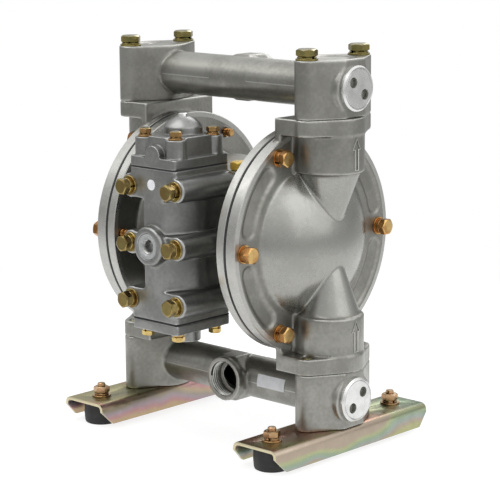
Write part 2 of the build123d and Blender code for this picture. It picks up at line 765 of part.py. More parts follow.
def outlet_manifold():
    """The upper manifold, whose balls sit inside its end blocks."""
    solid = manifold()
    ball_top = joint_z + seat_ball_drop + resting_gap + ball_radius
    for side in (-1, 1):
        cage = bar_z(cage_radius, joint_z, block_top_z - cage_roof_wall, side * neck_x)
        cage -= bar_z(ball_stop_width, ball_top + ball_lift + resting_gap, block_top_z, side * neck_x)
        solid -= cage
    return solid


def inlet_manifold():
    """The lower manifold, turned so that its port faces the front."""
    solid = manifold()
    for side in (-1, 1):
        solid -= bar_z(cage_radius - seal_ring_width, joint_z, block_top_z - cage_roof_wall, side * neck_x)
    return Rot(180, 0, 0) * solid


def end_plug(hole_angle):
    """A right end plug, screwed into the manifold, with two blind holes for a pin spanner."""
    solid = bar_x(plug_thread_radius, end_boss_x - plug_thread_length, end_boss_x, 0, 0)
    disc = bar_x(plug_radius, end_boss_x, plug_face_x)
    disc = chamfer(disc.edges().filter_by(GeomType.CIRCLE).sort_by(Axis.X)[-1], plug_chamfer)
    solid += disc
    for turn in (0.0, 180.0):
        angle = math.radians(hole_angle + turn)
        y = plug_hole_offset * math.cos(angle)
        z = plug_hole_offset * math.sin(angle)
        solid -= bar_x(plug_hole_radius, plug_face_x - plug_hole_depth, plug_face_x, y, z)
    return solid


def outlet_bolts():
    """The four bolts that hold the outlet manifold down on the covers."""
    shank = block_top_z - neck_flange_z - resting_gap
    places = [(side * manifold_end_x, y) for side in (-1, 1) for y in (-manifold_bolt_y, manifold_bolt_y)]
    return Compound(children=[Pos(x, y, block_top_z) * bolt(M10, shank) for x, y in places])


def inlet_bolts():
    """The four bolts that come up through the rails and the inlet manifold."""
    seat = block_top_z + rail_sheet
    shank = seat - neck_flange_z - resting_gap
    places = [(side * manifold_end_x, y) for side in (-1, 1) for y in (-manifold_bolt_y, manifold_bolt_y)]
    return Compound(children=[Pos(x, y, -seat) * Rot(180, 0, 0) * bolt(M10, shank) for x, y in places])


def ball_seat(groove_low):
    """A valve seat ring with its cone on top, standing on the ground plane, grooved for its seal ring."""
    ring = bar_z(seat_radius, 0, seat_height) - bar_z(seat_bore_radius, 0, seat_height)
    cone = Pos(0, 0, seat_height - seat_cone_height / 2) * Cone(
        seat_bore_radius, seat_bore_radius + seat_cone_height, seat_cone_height)
    return ring - cone - seal_ring(groove_low)


def seal_ring(low):
    """The ring that seals a seat against its manifold, standing at a height."""
    outer = bar_z(seal_ring_radius, low, low + seal_ring_height)
    return outer - bar_z(seal_ring_radius - seal_ring_width, low, low + seal_ring_height)


def seated(shape, side, z):
    """A seat or ball moved into its neck."""
    return Pos(side * neck_x, 0, z) * shape


def ball_centre(seat_top):
    """The height of a resting ball's centre above its seat."""
    return seat_top + seat_ball_drop + resting_gap


def rail_section(inset):
    """A rail's section in the XZ plane, or the space under it when it is inset by the sheet."""
    lean = rail_flare / rail_depth
    side_inset = inset * math.hypot(1, lean)
    top_half = rail_width / 2 + lean * inset - side_inset
    bottom_half = rail_width / 2 + rail_flare - side_inset
    bottom = rail_top_z - rail_depth
    outline = make_face(Polyline(
        (-bottom_half, bottom), (-top_half, rail_top_z - inset), (top_half, rail_top_z - inset),
        (bottom_half, bottom), close=True))
    bends = outline.vertices().group_by(Axis.Y)[-1]
    return Pos(manifold_end_x, 0, 0) * Plane.XZ * fillet(bends, rail_bend_radius - inset)


def base_rail():
    """The right rail, folded from sheet, with its lower corners cut at both ends."""
    bottom = rail_top_z - rail_depth
    rail = extrude(rail_section(0) - rail_section(rail_sheet), rail_half_length, both=True)
    for side in (-1, 1):
        corner = side * rail_half_length
        cut = Plane.YZ * make_face(Polyline(
            (corner, bottom), (corner - side * rail_corner_cut, bottom), (corner, bottom + rail_corner_cut),
            close=True))
        rail -= extrude(cut, manifold_end_x + rail_width, dir=(1, 0, 0))
        rail -= bar_z(M8["thread"] + bolt_hole_clearance, foot_top_z, rail_top_z, manifold_end_x,
                      side * foot_y)
    return rail - upside_down(manifold_bolt_holes(block_top_z, block_top_z + rail_sheet))


def rubber_foot():
    """A round rubber foot, standing on the floor below the rail."""
    foot = bar_z(foot_radius, floor_z, foot_top_z - foot_plate_thickness)
    return chamfer(foot.edges().filter_by(GeomType.CIRCLE).sort_by(Axis.Z)[0], foot_edge_chamfer)


def foot_stud():
    """The steel plate and stud bonded to a foot."""
    plate_low = foot_top_z - foot_plate_thickness
    plate_disc = bar_z(foot_radius - foot_edge_chamfer, plate_low, foot_top_z)
    return plate_disc + bar_z(M8_NUT["thread"], plate_low, rail_top_z + foot_stud_tail)


def foot_nut():
    """The washers and nut that hold a foot under its rail."""
    nut = bar_z(M8_NUT["washer"], rail_top_z, rail_top_z + M8_NUT["stack"])
    nut += Pos(0, 0, rail_top_z + M8_NUT["stack"]) * hexagon_bar(M8_NUT["flats"], M8_NUT["head"])
    top = rail_top_z + M8_NUT["stack"] + M8_NUT["head"]
    return nut - bar_z(M8_NUT["thread"] + seated_clearance, rail_top_z, top)


def exhaust_silencer():
    """The silencer on the rear, a slotted barrel with a hexagon at its thread."""
    hexagon_end = centre_rear_y + silencer_hex_length
    solid = Pos(0, centre_rear_y, exhaust_z) * Rot(-90, 0, 0) * hexagon_bar(
        silencer_hex_flats, silencer_hex_length)
    barrel = bar_y(silencer_radius, hexagon_end, hexagon_end + silencer_length, 0, exhaust_z)
    solid += chamfer(barrel.edges().filter_by(GeomType.CIRCLE), silencer_slot_width)
    step = silencer_length / (silencer_slots + 1)
    for i in range(silencer_slots):
        middle = hexagon_end + (i + 1) * step
        ring = bar_y(silencer_radius, middle - silencer_slot_width / 2, middle + silencer_slot_width / 2, 0,
                     exhaust_z)
        ring -= bar_y(silencer_radius - silencer_slot_depth, middle - silencer_slot_width / 2,
                      middle + silencer_slot_width / 2, 0, exhaust_z)
        solid -= ring
    return solid + bar_y(silencer_thread_radius, centre_rear_y - silencer_thread_length, centre_rear_y, 0,
                         exhaust_z)


def vent_plug():
    """The small yellow hexagon plug on top of the centre body, behind the valve body."""
    head = Pos(vent_x, vent_y, centre_half_height) * hexagon_bar(vent_flats, vent_height)
    return head + bar_z(vent_thread_radius, centre_half_height - vent_thread_length, centre_half_height,
                        vent_x, vent_y)


def write(name, shape):
    """Writes one piece at its place above the floor."""
    export_step(Pos(0, 0, axis_height) * shape, f"parts/{name}.step")


def both_sides(name, shape):
    """Writes a piece of the right side and its twin on the left."""
    write(f"right_{name}", shape)
    write(f"left_{name}", other_side(shape))


def as_pair(name, shape):
    """Writes a small piece of the right side and its twin together."""
    write(name, Compound(children=[*shape.solids(), *other_side(shape).solids()]))


os.makedirs("parts", exist_ok=True)
both_sides("fluid_cover", fluid_cover())
both_sides("air_disc", air_disc())
both_sides("diaphragm", diaphragm())
both_sides("chamber_bolts", chamber_bolts())
both_sides("inner_plate", plate(inner_plate_x, sheet_inner_x))
both_sides("outer_plate", plate(sheet_outer_x, outer_plate_x))
both_sides("base_rail", base_rail())
as_pair("air_disc_screws", disc_screws())
as_pair("rod_bushings", rod_bushing())
as_pair("rod_seals", rod_seal())
as_pair("rod_nuts", rod_nut())
write("centre_body", centre_body())
write("centre_rod", centre_rod())
write("pilot_spindle", pilot_spindle())
write("valve_body", valve_body())
write("valve_sleeve", valve_sleeve())
write("valve_spool", spool())
write("air_inlet_bushing", air_bushing())
write("top_cover_gasket", cover_gasket())
write("bottom_cover_gasket", upside_down(cover_gasket()))
write("rear_gasket", rear_gasket())
write("valve_top_cover", valve_top_cover())
write("valve_bottom_cover", valve_bottom_cover())
write("top_cover_bolts", cover_bolts(cover_boss_z))
write("bottom_cover_bolts", upside_down(cover_bolts(cover_step_z)))
write("valve_body_bolts", valve_body_bolts())
write("reset_button", reset_button())
write("spring_plug", spring_plug())
write("button_spring", button_spring())
write("outlet_manifold", outlet_manifold())
write("inlet_manifold", inlet_manifold())
write("outlet_manifold_bolts", outlet_bolts())
write("inlet_manifold_bolts", inlet_bolts())
write("exhaust_silencer", exhaust_silencer())
write("vent_plug", vent_plug())

for level, height, angle in (("outlet", manifold_z, 143.0), ("inlet", -manifold_z, 42.0)):
    plug = Pos(0, 0, height) * end_plug(angle)
    write(f"right_{level}_plug", plug)
    write(f"left_{level}_plug", other_side(plug))

outlet_groove = seat_height - seal_ring_height
seal_rings = []
for side, name in ((1, "right"), (-1, "left")):
    write(f"{name}_outlet_seat", seated(ball_seat(outlet_groove), side, joint_z - seat_height))
    write(f"{name}_inlet_seat", seated(ball_seat(0), side, -joint_z))
    seal_rings.append(seated(seal_ring(outlet_groove), side, joint_z - seat_height))
    seal_rings.append(seated(seal_ring(0), side, -joint_z))
    write(f"{name}_outlet_ball", seated(Sphere(ball_radius), side, ball_centre(joint_z)))
    write(f"{name}_inlet_ball", seated(Sphere(ball_radius), side, ball_centre(-joint_z + seat_height)))

write("seat_seal_rings", Compound(children=seal_rings))
foot_places = [(side * manifold_end_x, y) for side in (-1, 1) for y in (-foot_y, foot_y)]
write("foot_studs", Compound(children=[Pos(x, y, 0) * foot_stud() for x, y in foot_places]))
write("foot_nuts", Compound(children=[Pos(x, y, 0) * foot_nut() for x, y in foot_places]))
write("rubber_feet", Compound(children=[Pos(x, y, 0) * rubber_foot() for x, y in foot_places]))
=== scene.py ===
import bmesh
import bpy
import json
import math
from mathutils import Matrix, Vector


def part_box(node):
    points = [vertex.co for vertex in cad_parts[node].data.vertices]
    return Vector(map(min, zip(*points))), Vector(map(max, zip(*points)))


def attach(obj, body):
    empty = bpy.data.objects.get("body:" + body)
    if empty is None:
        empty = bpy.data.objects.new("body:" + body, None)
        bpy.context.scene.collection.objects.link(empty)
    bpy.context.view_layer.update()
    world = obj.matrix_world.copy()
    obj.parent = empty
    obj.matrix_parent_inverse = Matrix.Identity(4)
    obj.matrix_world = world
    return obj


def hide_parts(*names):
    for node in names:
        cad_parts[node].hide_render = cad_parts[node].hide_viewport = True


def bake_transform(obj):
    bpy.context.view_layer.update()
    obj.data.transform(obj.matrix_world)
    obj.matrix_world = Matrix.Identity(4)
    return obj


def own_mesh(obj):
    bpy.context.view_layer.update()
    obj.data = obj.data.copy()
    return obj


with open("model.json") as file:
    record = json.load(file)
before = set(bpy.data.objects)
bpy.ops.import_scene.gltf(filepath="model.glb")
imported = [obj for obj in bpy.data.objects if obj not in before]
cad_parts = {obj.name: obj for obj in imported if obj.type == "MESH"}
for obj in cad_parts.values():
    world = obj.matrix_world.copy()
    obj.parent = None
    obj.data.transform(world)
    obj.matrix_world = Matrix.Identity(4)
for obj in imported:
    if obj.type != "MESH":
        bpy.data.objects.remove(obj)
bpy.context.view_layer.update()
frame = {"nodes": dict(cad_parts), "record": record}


# Fluid covers
# The two domed castings that close the pumping side of each diaphragm. They are die cast aluminium, shot
# blasted to a matte skin with soft fillets, turned bright round the rim, and bolted through their flanges.
def new_material(name):
    """A material with a Principled shader, returned with its tree and its shader."""
    material = bpy.data.materials.new(name)
    material.use_nodes = True
    tree = material.node_tree
    return material, tree, tree.nodes["Principled BSDF"]


def add_node(tree, kind, properties=None, **sockets):
    """A node with its properties and its named input values set."""
    node = tree.nodes.new(kind)
    for name, value in (properties or {}).items():
        setattr(node, name, value)
    for name, value in sockets.items():
        node.inputs[name.replace("_", " ")].default_value = value
    return node


def join_input(tree, socket, value):
    """Links an output to a socket, or sets the socket to a plain value."""
    if isinstance(value, bpy.types.NodeSocket):
        tree.links.new(value, socket)
    else:
        socket.default_value = value


def maths(tree, operation, first, second=0.0):
    """A Math node on links or numbers, returned as its output."""
    node = add_node(tree, "ShaderNodeMath", {"operation": operation})
    for socket, value in zip(node.inputs, (first, second)):
        join_input(tree, socket, value)
    return node.outputs[0]


def ranged(tree, value, low, high, to_low=0.0, to_high=1.0):
    """A value carried smoothly from one range to another, and held at its ends."""
    node = add_node(tree, "ShaderNodeMapRange", {"interpolation_type": "SMOOTHSTEP"})
    for socket, number in zip(node.inputs, (value, low, high, to_low, to_high)):
        join_input(tree, socket, number)
    return node.outputs[0]


def mixed(tree, factor, first, second):
    """Two colours mixed by a factor."""
    node = add_node(tree, "ShaderNodeMix", {"data_type": "RGBA"})
    for index, value in ((0, factor), (6, first), (7, second)):
        join_input(tree, node.inputs[index], value)
    return node.outputs[2]


def noise(tree, place, scale, detail=3.0):
    """A noise pattern with a number of waves to the metre."""
    node = add_node(tree, "ShaderNodeTexNoise", Detail=detail)
    tree.links.new(place, node.inputs["Vector"])
    join_input(tree, node.inputs["Scale"], scale)
    return node.outputs["Fac"]


def object_place(tree):
    """The place on the object, as a vector and as its three parts."""
    place = tree.nodes.new("ShaderNodeTexCoord").outputs["Object"]
    parts = tree.nodes.new("ShaderNodeSeparateXYZ")
    tree.links.new(place, parts.inputs[0])
    return place, parts.outputs


def make_cast_skin():
    """The skin of a casting: a cloudy tone, worn edges that carry a painted highlight, painted shade in its
    corners and creases, and a blasted grain.
    """
    group = bpy.data.node_groups.new("cast_skin", "ShaderNodeTree")
    for name, value in (("Grain per metre", 1400.0), ("Grain depth", 0.000026), ("Cloud per metre", 34.0)):
        socket = group.interface.new_socket(name, in_out="INPUT", socket_type="NodeSocketFloat")
        socket.default_value = value
    for name, kind in (("Tone", "Float"), ("Edge", "Float"), ("Corner", "Float"), ("Normal", "Vector")):
        group.interface.new_socket(name, in_out="OUTPUT", socket_type=f"NodeSocket{kind}")
    given = group.nodes.new("NodeGroupInput").outputs
    result = group.nodes.new("NodeGroupOutput").inputs
    place, _ = object_place(group)
    cloud = noise(group, place, given["Cloud per metre"])
    speckle = noise(group, place, maths(group, "MULTIPLY", given["Cloud per metre"], 9.0))
    tone = maths(group, "ADD", maths(group, "MULTIPLY", cloud, 0.7), maths(group, "MULTIPLY", speckle, 0.3))
    group.links.new(ranged(group, tone, 0.36, 0.64), result["Tone"])
    pointiness = group.nodes.new("ShaderNodeNewGeometry").outputs["Pointiness"]
    # Worn edges, partly a painted highlight: sharp convex edges are made paler in the colour.
    group.links.new(ranged(group, pointiness, 0.512, 0.56), result["Edge"])
    # Painted shade: concave corners and creases are darkened in the colour.
    group.links.new(ranged(group, pointiness, 0.45, 0.493, 1.0, 0.0), result["Corner"])
    bump = add_node(group, "ShaderNodeBump", Strength=1.0)
    group.links.new(noise(group, place, given["Grain per metre"], 2.0), bump.inputs["Height"])
    group.links.new(given["Grain depth"], bump.inputs["Distance"])
    group.links.new(bump.outputs["Normal"], result["Normal"])
    return group


cast_skin = make_cast_skin()
# The colour of the painted shade in corners and creases.
crease_shade_colour = (0.07, 0.068, 0.06, 1.0)
# Painted sheen: the paler colour given to the dome.
dome_sheen_tone = (0.4, 0.4, 0.38, 1.0)


def cast_material(name, dark, pale, edge, smooth_and_sheen_mask=None):
    """A cast aluminium finish between a dark and a pale tone, smoother where a mask says so and painted paler
    there as a sheen.
    """
    material, tree, shader = new_material(name)
    placed_skin = add_node(tree, "ShaderNodeGroup", {"node_tree": cast_skin})
    skin = placed_skin.outputs
    colour = mixed(tree, skin["Tone"], (*dark, 1.0), (*pale, 1.0))
    # Worn edges lightened in the colour, partly as a painted highlight.
    colour = mixed(tree, maths(tree, "MULTIPLY", skin["Edge"], 0.55), colour, (*edge, 1.0))
    # Painted shade in corners and creases.
    colour = mixed(tree, maths(tree, "MULTIPLY", skin["Corner"], 0.75), colour, crease_shade_colour)
    roughness = ranged(tree, skin["Tone"], 0.0, 1.0, 0.4, 0.33)
    if smooth_and_sheen_mask:
        mask = smooth_and_sheen_mask(tree)
        # Painted sheen: the masked dome is painted paler, while its lower roughness and finer grain are real.
        colour = mixed(tree, maths(tree, "MULTIPLY", mask, 0.5), colour, dome_sheen_tone)
        roughness = maths(tree, "SUBTRACT", roughness, maths(tree, "MULTIPLY", mask, 0.1))
        grain_depth = ranged(tree, mask, 0.0, 1.0, 0.000024, 0.000003)
        join_input(tree, placed_skin.inputs["Grain depth"], grain_depth)
    shader.inputs["Metallic"].default_value = 0.92
    join_input(tree, shader.inputs["Roughness"], roughness)
    tree.links.new(colour, shader.inputs["Base Color"])
    tree.links.new(skin["Normal"], shader.inputs["Normal"])
    return material


def turned(shape, profile, place, axis, zero, start=0.0, end=360.0, steps=144):
    """Adds a turned solid: a closed profile of (radius, distance along) points, swept round an axis."""
    axis = Vector(axis)
    zero = Vector(zero)
    side = axis.cross(zero)
    whole = end - start >= 360.0
    count = steps if whole else max(2, round(steps * (end - start) / 360.0))
    rings = []
    for i in range(count if whole else count + 1):
        angle = math.radians(start + (end - start) * i / count)
        out = zero * math.cos(angle) + side * math.sin(angle)
        rings.append([shape.verts.new(Vector(place) + out * radius + axis * along)
                      for radius, along in profile])
    pairs = list(zip(rings, rings[1:]))
    if whole:
        pairs.append((rings[-1], rings[0]))
    else:
        shape.faces.new(list(reversed(rings[0])))
        shape.faces.new(rings[-1])
    for ring, following in pairs:
        for i in range(len(profile)):
            j = (i + 1) % len(profile)
            if profile[i][0] > 0 or profile[j][0] > 0:
                shape.faces.new((ring[i], ring[j], following[j], following[i]))


def arc(centre, radius, start, end, steps):
    """Points along an arc in a profile, from one angle to another in degrees."""
    angles = [math.radians(start + (end - start) * i / steps) for i in range(steps + 1)]
    return [(centre[0] + radius * math.cos(a), centre[1] + radius * math.sin(a)) for a in angles]


def mesh_of(name, shape):
    """A mesh from a shape, with its doubled points joined and its faces turned outwards."""
    bmesh.ops.remove_doubles(shape, verts=shape.verts, dist=1e-6)
    bmesh.ops.recalc_face_normals(shape, faces=shape.faces)
    mesh = bpy.data.meshes.new(name)
    shape.to_mesh(mesh)
    shape.free()
    return mesh


def joined(name, *meshes):
    """Several meshes as one."""
    shape = bmesh.new()
    for mesh in meshes:
        shape.from_mesh(mesh)
    whole = bpy.data.meshes.new(name)
    shape.to_mesh(whole)
    shape.free()
    return whole


def place_piece(name, mesh, material, body, replaced=(), crease=32.0):
    """A finished piece on its body: its mesh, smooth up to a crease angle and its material."""
    piece = bpy.data.objects.new(name, mesh)
    bpy.context.scene.collection.objects.link(piece)
    if material:
        mesh.materials.clear()
        mesh.materials.append(material)
    mesh.shade_smooth()
    mesh.set_sharp_from_angle(angle=math.radians(crease))
    if body:
        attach(piece, body)
    if replaced:
        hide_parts(*replaced)


def working_object(mesh):
    """An object that carries modifiers for a moment."""
    obj = bpy.data.objects.new("working", mesh)
    bpy.context.scene.collection.objects.link(obj)
    return obj


def evaluated_mesh(obj):
    """The mesh that an object's modifiers give, as plain data, with the object itself removed."""
    depsgraph = bpy.context.evaluated_depsgraph_get()
    depsgraph.update()
    mesh = bpy.data.meshes.new_from_object(obj.evaluated_get(depsgraph))
    bpy.data.objects.remove(obj)
    return mesh


def merged_node(node):
    """A CAD node's mesh with its loose triangles joined."""
    shape = bmesh.new()
    shape.from_mesh(frame["nodes"][node].data)
    bmesh.ops.remove_doubles(shape, verts=shape.verts, dist=2e-6)
    mesh = bpy.data.meshes.new(node)
    shape.to_mesh(mesh)
    shape.free()
    return mesh


def cast_mesh(solid, finer, voxel, rounds):
    """A casting's skin: its solid joined with finer turned ones, remeshed so that every corner rounds off."""
    obj = working_object(joined("solid", solid, mesh_of("finer", finer)))
    remesh = obj.modifiers.new("remesh", "REMESH")
    remesh.mode = "VOXEL"
    remesh.voxel_size = voxel
    smooth = obj.modifiers.new("smooth", "SMOOTH")
    smooth.factor = 0.5
    smooth.iterations = rounds
    return evaluated_mesh(obj)


def box_middle(node):
    """The middle of a CAD node's box."""
    low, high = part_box(node)
    return (low + high) / 2


sheet_low, sheet_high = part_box("right_diaphragm")
chamber_z = (sheet_low.z + sheet_high.z) / 2
flange_radius = (sheet_high.z - sheet_low.z) / 2
sheet_outer_x = sheet_high.x
cover_face_x = sheet_outer_x + 0.0114
dome_centre_x = 0.030
dome_radius = 0.092
neck_x = 0.1075
neck_radius = 0.0315
neck_start = 0.065
neck_end = 0.100
duct_radius = 0.028
duct_tip_radius = 0.0118
duct_tip = 0.020
rim_depth = 0.005
rim_chamfer = 0.0007
rim_proud = 0.00012
shell = 0.003
smooth_radius = 0.0695
smooth_end_radius = 0.074
smooth_neck_start = 0.004
smooth_neck_end = 0.001
cover_voxel = 0.00131


def dome_mask(tree):
    """A mask that is one on the smooth dome and its ducts, inside the flange and between the necks, where the
    dome is also painted paler as a sheen.
    """
    _, parts = object_place(tree)
    height = maths(tree, "ABSOLUTE", maths(tree, "SUBTRACT", parts["Z"], chamber_z))
    squares = maths(tree, "ADD", maths(tree, "MULTIPLY", height, height),
                    maths(tree, "MULTIPLY", parts["Y"], parts["Y"]))
    inside = ranged(tree, maths(tree, "SQRT", squares), smooth_radius, smooth_end_radius, 1.0, 0.0)
    between = ranged(tree, height, neck_start - smooth_neck_start, neck_start - smooth_neck_end, 1.0, 0.0)
    return maths(tree, "MULTIPLY", inside, between)


# Dark and pale tones of the cast skin, then the colour of its worn edges, which is partly a painted
# highlight.
cast_colours = ((0.232, 0.23, 0.208), (0.312, 0.309, 0.284), (0.62, 0.62, 0.59))
cast_aluminium = cast_material("cast_aluminium", *cast_colours)
# The covers' domes are smoother and carry a painted sheen.
cover_aluminium = cast_material("cover_aluminium", *cast_colours, dome_mask)
turned_aluminium, tree, shader = new_material("turned_aluminium")
place, _ = object_place(tree)
streak = ranged(tree, noise(tree, place, 260.0), 0.3, 0.7)
rim_tone = mixed(tree, streak, (0.45, 0.448, 0.425, 1.0), (0.49, 0.488, 0.465, 1.0))
tree.links.new(rim_tone, shader.inputs["Base Color"])
shader.inputs["Metallic"].default_value = 0.9
join_input(tree, shader.inputs["Roughness"], ranged(tree, noise(tree, place, 90.0), 0.3, 0.7, 0.26, 0.34))


def finer_cover():
    """The turned forms of a right cover: its dome, its two necks and their ducts."""
    shape = bmesh.new()
    middle = (0.0, 0.0, chamber_z)
    foot_angle = math.degrees(math.asin((cover_face_x - dome_centre_x) / dome_radius))
    outer = arc((0.0, dome_centre_x), dome_radius, foot_angle, 90.0, 40)
    inner = arc((0.0, dome_centre_x), dome_radius - shell, 90.0, foot_angle, 40)
    turned(shape, outer + inner, middle, (1, 0, 0), (0, 1, 0), steps=180)
    collar = [(neck_radius - shell, neck_start), (neck_radius, neck_start), (neck_radius, neck_end),
              (neck_radius - shell, neck_end)]
    duct = [(duct_radius - shell, neck_start), (duct_radius, neck_start), (duct_tip_radius, duct_tip),
            (duct_tip_radius - shell, duct_tip)]
    for up in (1, -1):
        for profile, reach in ((collar, 100.0), (duct, 110.0)):
            turned(shape, profile, (neck_x, 0.0, chamber_z), (0, 0, up), (1, 0, 0), -reach, reach, 96)
    return shape


def place_rim(name, side, low_x, high_x):
    """The turned rim round a flange, between two places along X, with its edges broken."""
    radius = flange_radius + rim_proud
    inner = radius - rim_depth
    shape = bmesh.new()
    rim = [(inner, low_x), (radius - rim_chamfer, low_x), (radius, low_x + rim_chamfer),
           (radius, high_x - rim_chamfer), (radius - rim_chamfer, high_x), (inner, high_x)]
    turned(shape, rim, (0.0, 0.0, chamber_z), (side, 0, 0), (0, 1, 0), steps=216)
    place_piece(name, mesh_of(name, shape), turned_aluminium, "root")


for side, name in ((1, "right"), (-1, "left")):
    finer = finer_cover()
    bmesh.ops.scale(finer, vec=(side, 1, 1), verts=finer.verts)
    skin = cast_mesh(merged_node(f"{name}_fluid_cover"), finer, cover_voxel, 4)
    place_piece(f"{name}_cover_casting", skin, cover_aluminium, "root",
                [f"{name}_fluid_cover"], 180.0)
    place_rim(f"{name}_cover_rim", side, sheet_outer_x + rim_proud, cover_face_x + rim_proud)


# Flow arrows
# A raised outline of an arrow stands on the outboard side of each neck, cast with the cover. It points
# the way the liquid runs, which is up through both necks.
arrow_half_width = 0.0048
arrow_shaft_half = 0.0022
arrow_height = 0.028
arrow_head = 0.0095
arrow_line = 0.0007
arrow_base_rise = {"upper": 0.0686, "lower": -0.0967}
arrow_outline = [
    (-arrow_shaft_half, 0.0), (arrow_shaft_half, 0.0), (arrow_shaft_half, arrow_height - arrow_head),
    (arrow_half_width, arrow_height - arrow_head), (0.0, arrow_height),
    (-arrow_half_width, arrow_height - arrow_head), (-arrow_shaft_half, arrow_height - arrow_head)]


def make_raised_line():
    """A tree that turns a drawn line into a raised round bead with one finish."""
    tree = bpy.data.node_groups.new("raised_line", "GeometryNodeTree")
    for name, kind in (("Line", "Geometry"), ("Bead radius", "Float"), ("Finish", "Material")):
        tree.interface.new_socket(name, in_out="INPUT", socket_type=f"NodeSocket{kind}")
    tree.interface.new_socket("Bead", in_out="OUTPUT", socket_type="NodeSocketGeometry")
    given = tree.nodes.new("NodeGroupInput").outputs
    result = tree.nodes.new("NodeGroupOutput").inputs
    as_curve = tree.nodes.new("GeometryNodeMeshToCurve")
    section = add_node(tree, "GeometryNodeCurvePrimitiveCircle", Resolution=8)
    sweep = add_node(tree, "GeometryNodeCurveToMesh", Fill_Caps=True)
    finish = tree.nodes.new("GeometryNodeSetMaterial")
    tree.links.new(given["Line"], as_curve.inputs["Mesh"])
    tree.links.new(given["Bead radius"], section.inputs["Radius"])
    tree.links.new(as_curve.outputs["Curve"], sweep.inputs["Curve"])
    tree.links.new(section.outputs["Curve"], sweep.inputs["Profile Curve"])
    tree.links.new(sweep.outputs["Mesh"], finish.inputs["Geometry"])
    tree.links.new(given["Finish"], finish.inputs["Material"])
    tree.links.new(finish.outputs["Geometry"], result["Bead"])
    return tree


def run_tree(mesh, tree, **values):
    """The mesh that a Geometry Nodes tree makes from a start mesh and its named input values."""
    obj = working_object(mesh)
    modifier = obj.modifiers.new("tree", "NODES")
    modifier.node_group = tree
    for item in tree.interface.items_tree:
        value = values.get(item.name.replace(" ", "_"))
        if item.item_type == "SOCKET" and item.in_out == "INPUT" and value is not None:
            modifier[item.identifier] = value
    return evaluated_mesh(obj)


def ring_of_edges(points):
    """A closed line through points, as a mesh of edges."""
    mesh = bpy.data.meshes.new("line")
    mesh.from_pydata(points, [(i, (i + 1) % len(points)) for i in range(len(points))], [])
    return mesh


raised_line = make_raised_line()
for side, name in ((1, "right"), (-1, "left")):
    for level, rise in arrow_base_rise.items():
        points = []
        for y, z in arrow_outline:
            x = neck_x + math.sqrt(neck_radius**2 - y**2) + arrow_line / 3
            points.append((side * x, y, chamber_z + rise + z))
        bead = run_tree(ring_of_edges(points), raised_line, Bead_radius=arrow_line, Finish=cast_aluminium)
        place_piece(f"{name}_{level}_arrow", bead, None, "root", crease=60.0)


# Air discs and centre body
# The cast discs behind the diaphragms are screwed to a cast block between them, which guides the rod.
# Their rims are turned with the covers' rims, and the flat ring outside the boss is left as cast.
disc_rim_thickness = 0.009
disc_voxel = 0.0015
centre_voxel = 0.0018
disc_high_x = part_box("right_air_disc")[1].x
for side, name in ((1, "right"), (-1, "left")):
    skin = cast_mesh(merged_node(f"{name}_air_disc"), bmesh.new(), disc_voxel, 3)
    place_piece(f"{name}_disc_casting", skin, cast_aluminium, "root",
                [f"{name}_air_disc"], 180.0)
    place_rim(f"{name}_disc_rim", side, disc_high_x - disc_rim_thickness - rim_proud, disc_high_x - rim_proud)

skin = cast_mesh(merged_node("centre_body"), bmesh.new(), centre_voxel, 4)
place_piece("centre_body_casting", skin, cast_aluminium, "root", ["centre_body"], 180.0)


# Manifolds
# A cast tube joins two oval blocks above and below, with an octagonal collar and a threaded port at its
# middle. The port faces the front below and the rear above. A fine seam of the mould runs along each tube.
tube_radius = 0.0198
tube_end_x = 0.085
port_half_width = 0.0235
port_radius = 0.021
port_reach = 0.0289
port_front = 0.017
port_wall = 0.0032
port_rim_round = 0.0014
port_bore_radius = 0.0166
port_bore_depth = 0.0145
end_boss_radius = 0.0238
end_boss_x = 0.1375
end_boss_start_x = 0.122
end_boss_root_radius = 0.0256
end_boss_round = 0.0014
seam_half_angle = 1.1
seam_height = 0.00022
manifold_voxel = 0.0012


def cut_round(solid, place, axis, zero, radius, depth):
    """A mesh with a round hole of a depth cut into it."""
    tool_shape = bmesh.new()
    turned(tool_shape, [(0.0, -depth), (radius, -depth), (radius, depth), (0.0, depth)], place, axis, zero,
           steps=72)
    tool = working_object(mesh_of("tool", tool_shape))
    obj = working_object(solid)
    boolean = obj.modifiers.new("hole", "BOOLEAN")
    boolean.operation = "DIFFERENCE"
    boolean.object = tool
    result = evaluated_mesh(obj)
    bpy.data.objects.remove(tool)
    return result


def finer_manifold(level_z, facing):
    """The turned forms of a manifold: its tube either side of the port, the port's rim and the end bosses."""
    shape = bmesh.new()
    axis_place = (0.0, 0.0, level_z)
    rim = [(port_radius - port_wall, port_front), (port_radius, port_front),
           *arc((port_radius - port_rim_round, port_reach - port_rim_round), port_rim_round, 0.0, 90.0, 5),
           (port_radius - port_wall, port_reach)]
    turned(shape, rim, axis_place, (0, facing, 0), (1, 0, 0), steps=120)
    for side in (-1, 1):
        tube = [(tube_radius - shell, port_half_width), (tube_radius, port_half_width),
                (tube_radius, tube_end_x), (tube_radius - shell, tube_end_x)]
        boss_edge = arc((end_boss_radius - end_boss_round, end_boss_x - end_boss_round), end_boss_round,
                        0.0, 90.0, 5)
        boss = [(end_boss_root_radius - 2 * shell, end_boss_start_x),
                (end_boss_root_radius, end_boss_start_x), *boss_edge,
                (end_boss_radius - 2 * shell, end_boss_x)]
        for profile in (tube, boss):
            turned(shape, profile, axis_place, (side, 0, 0), (0, 1, 0), steps=108)
    return shape


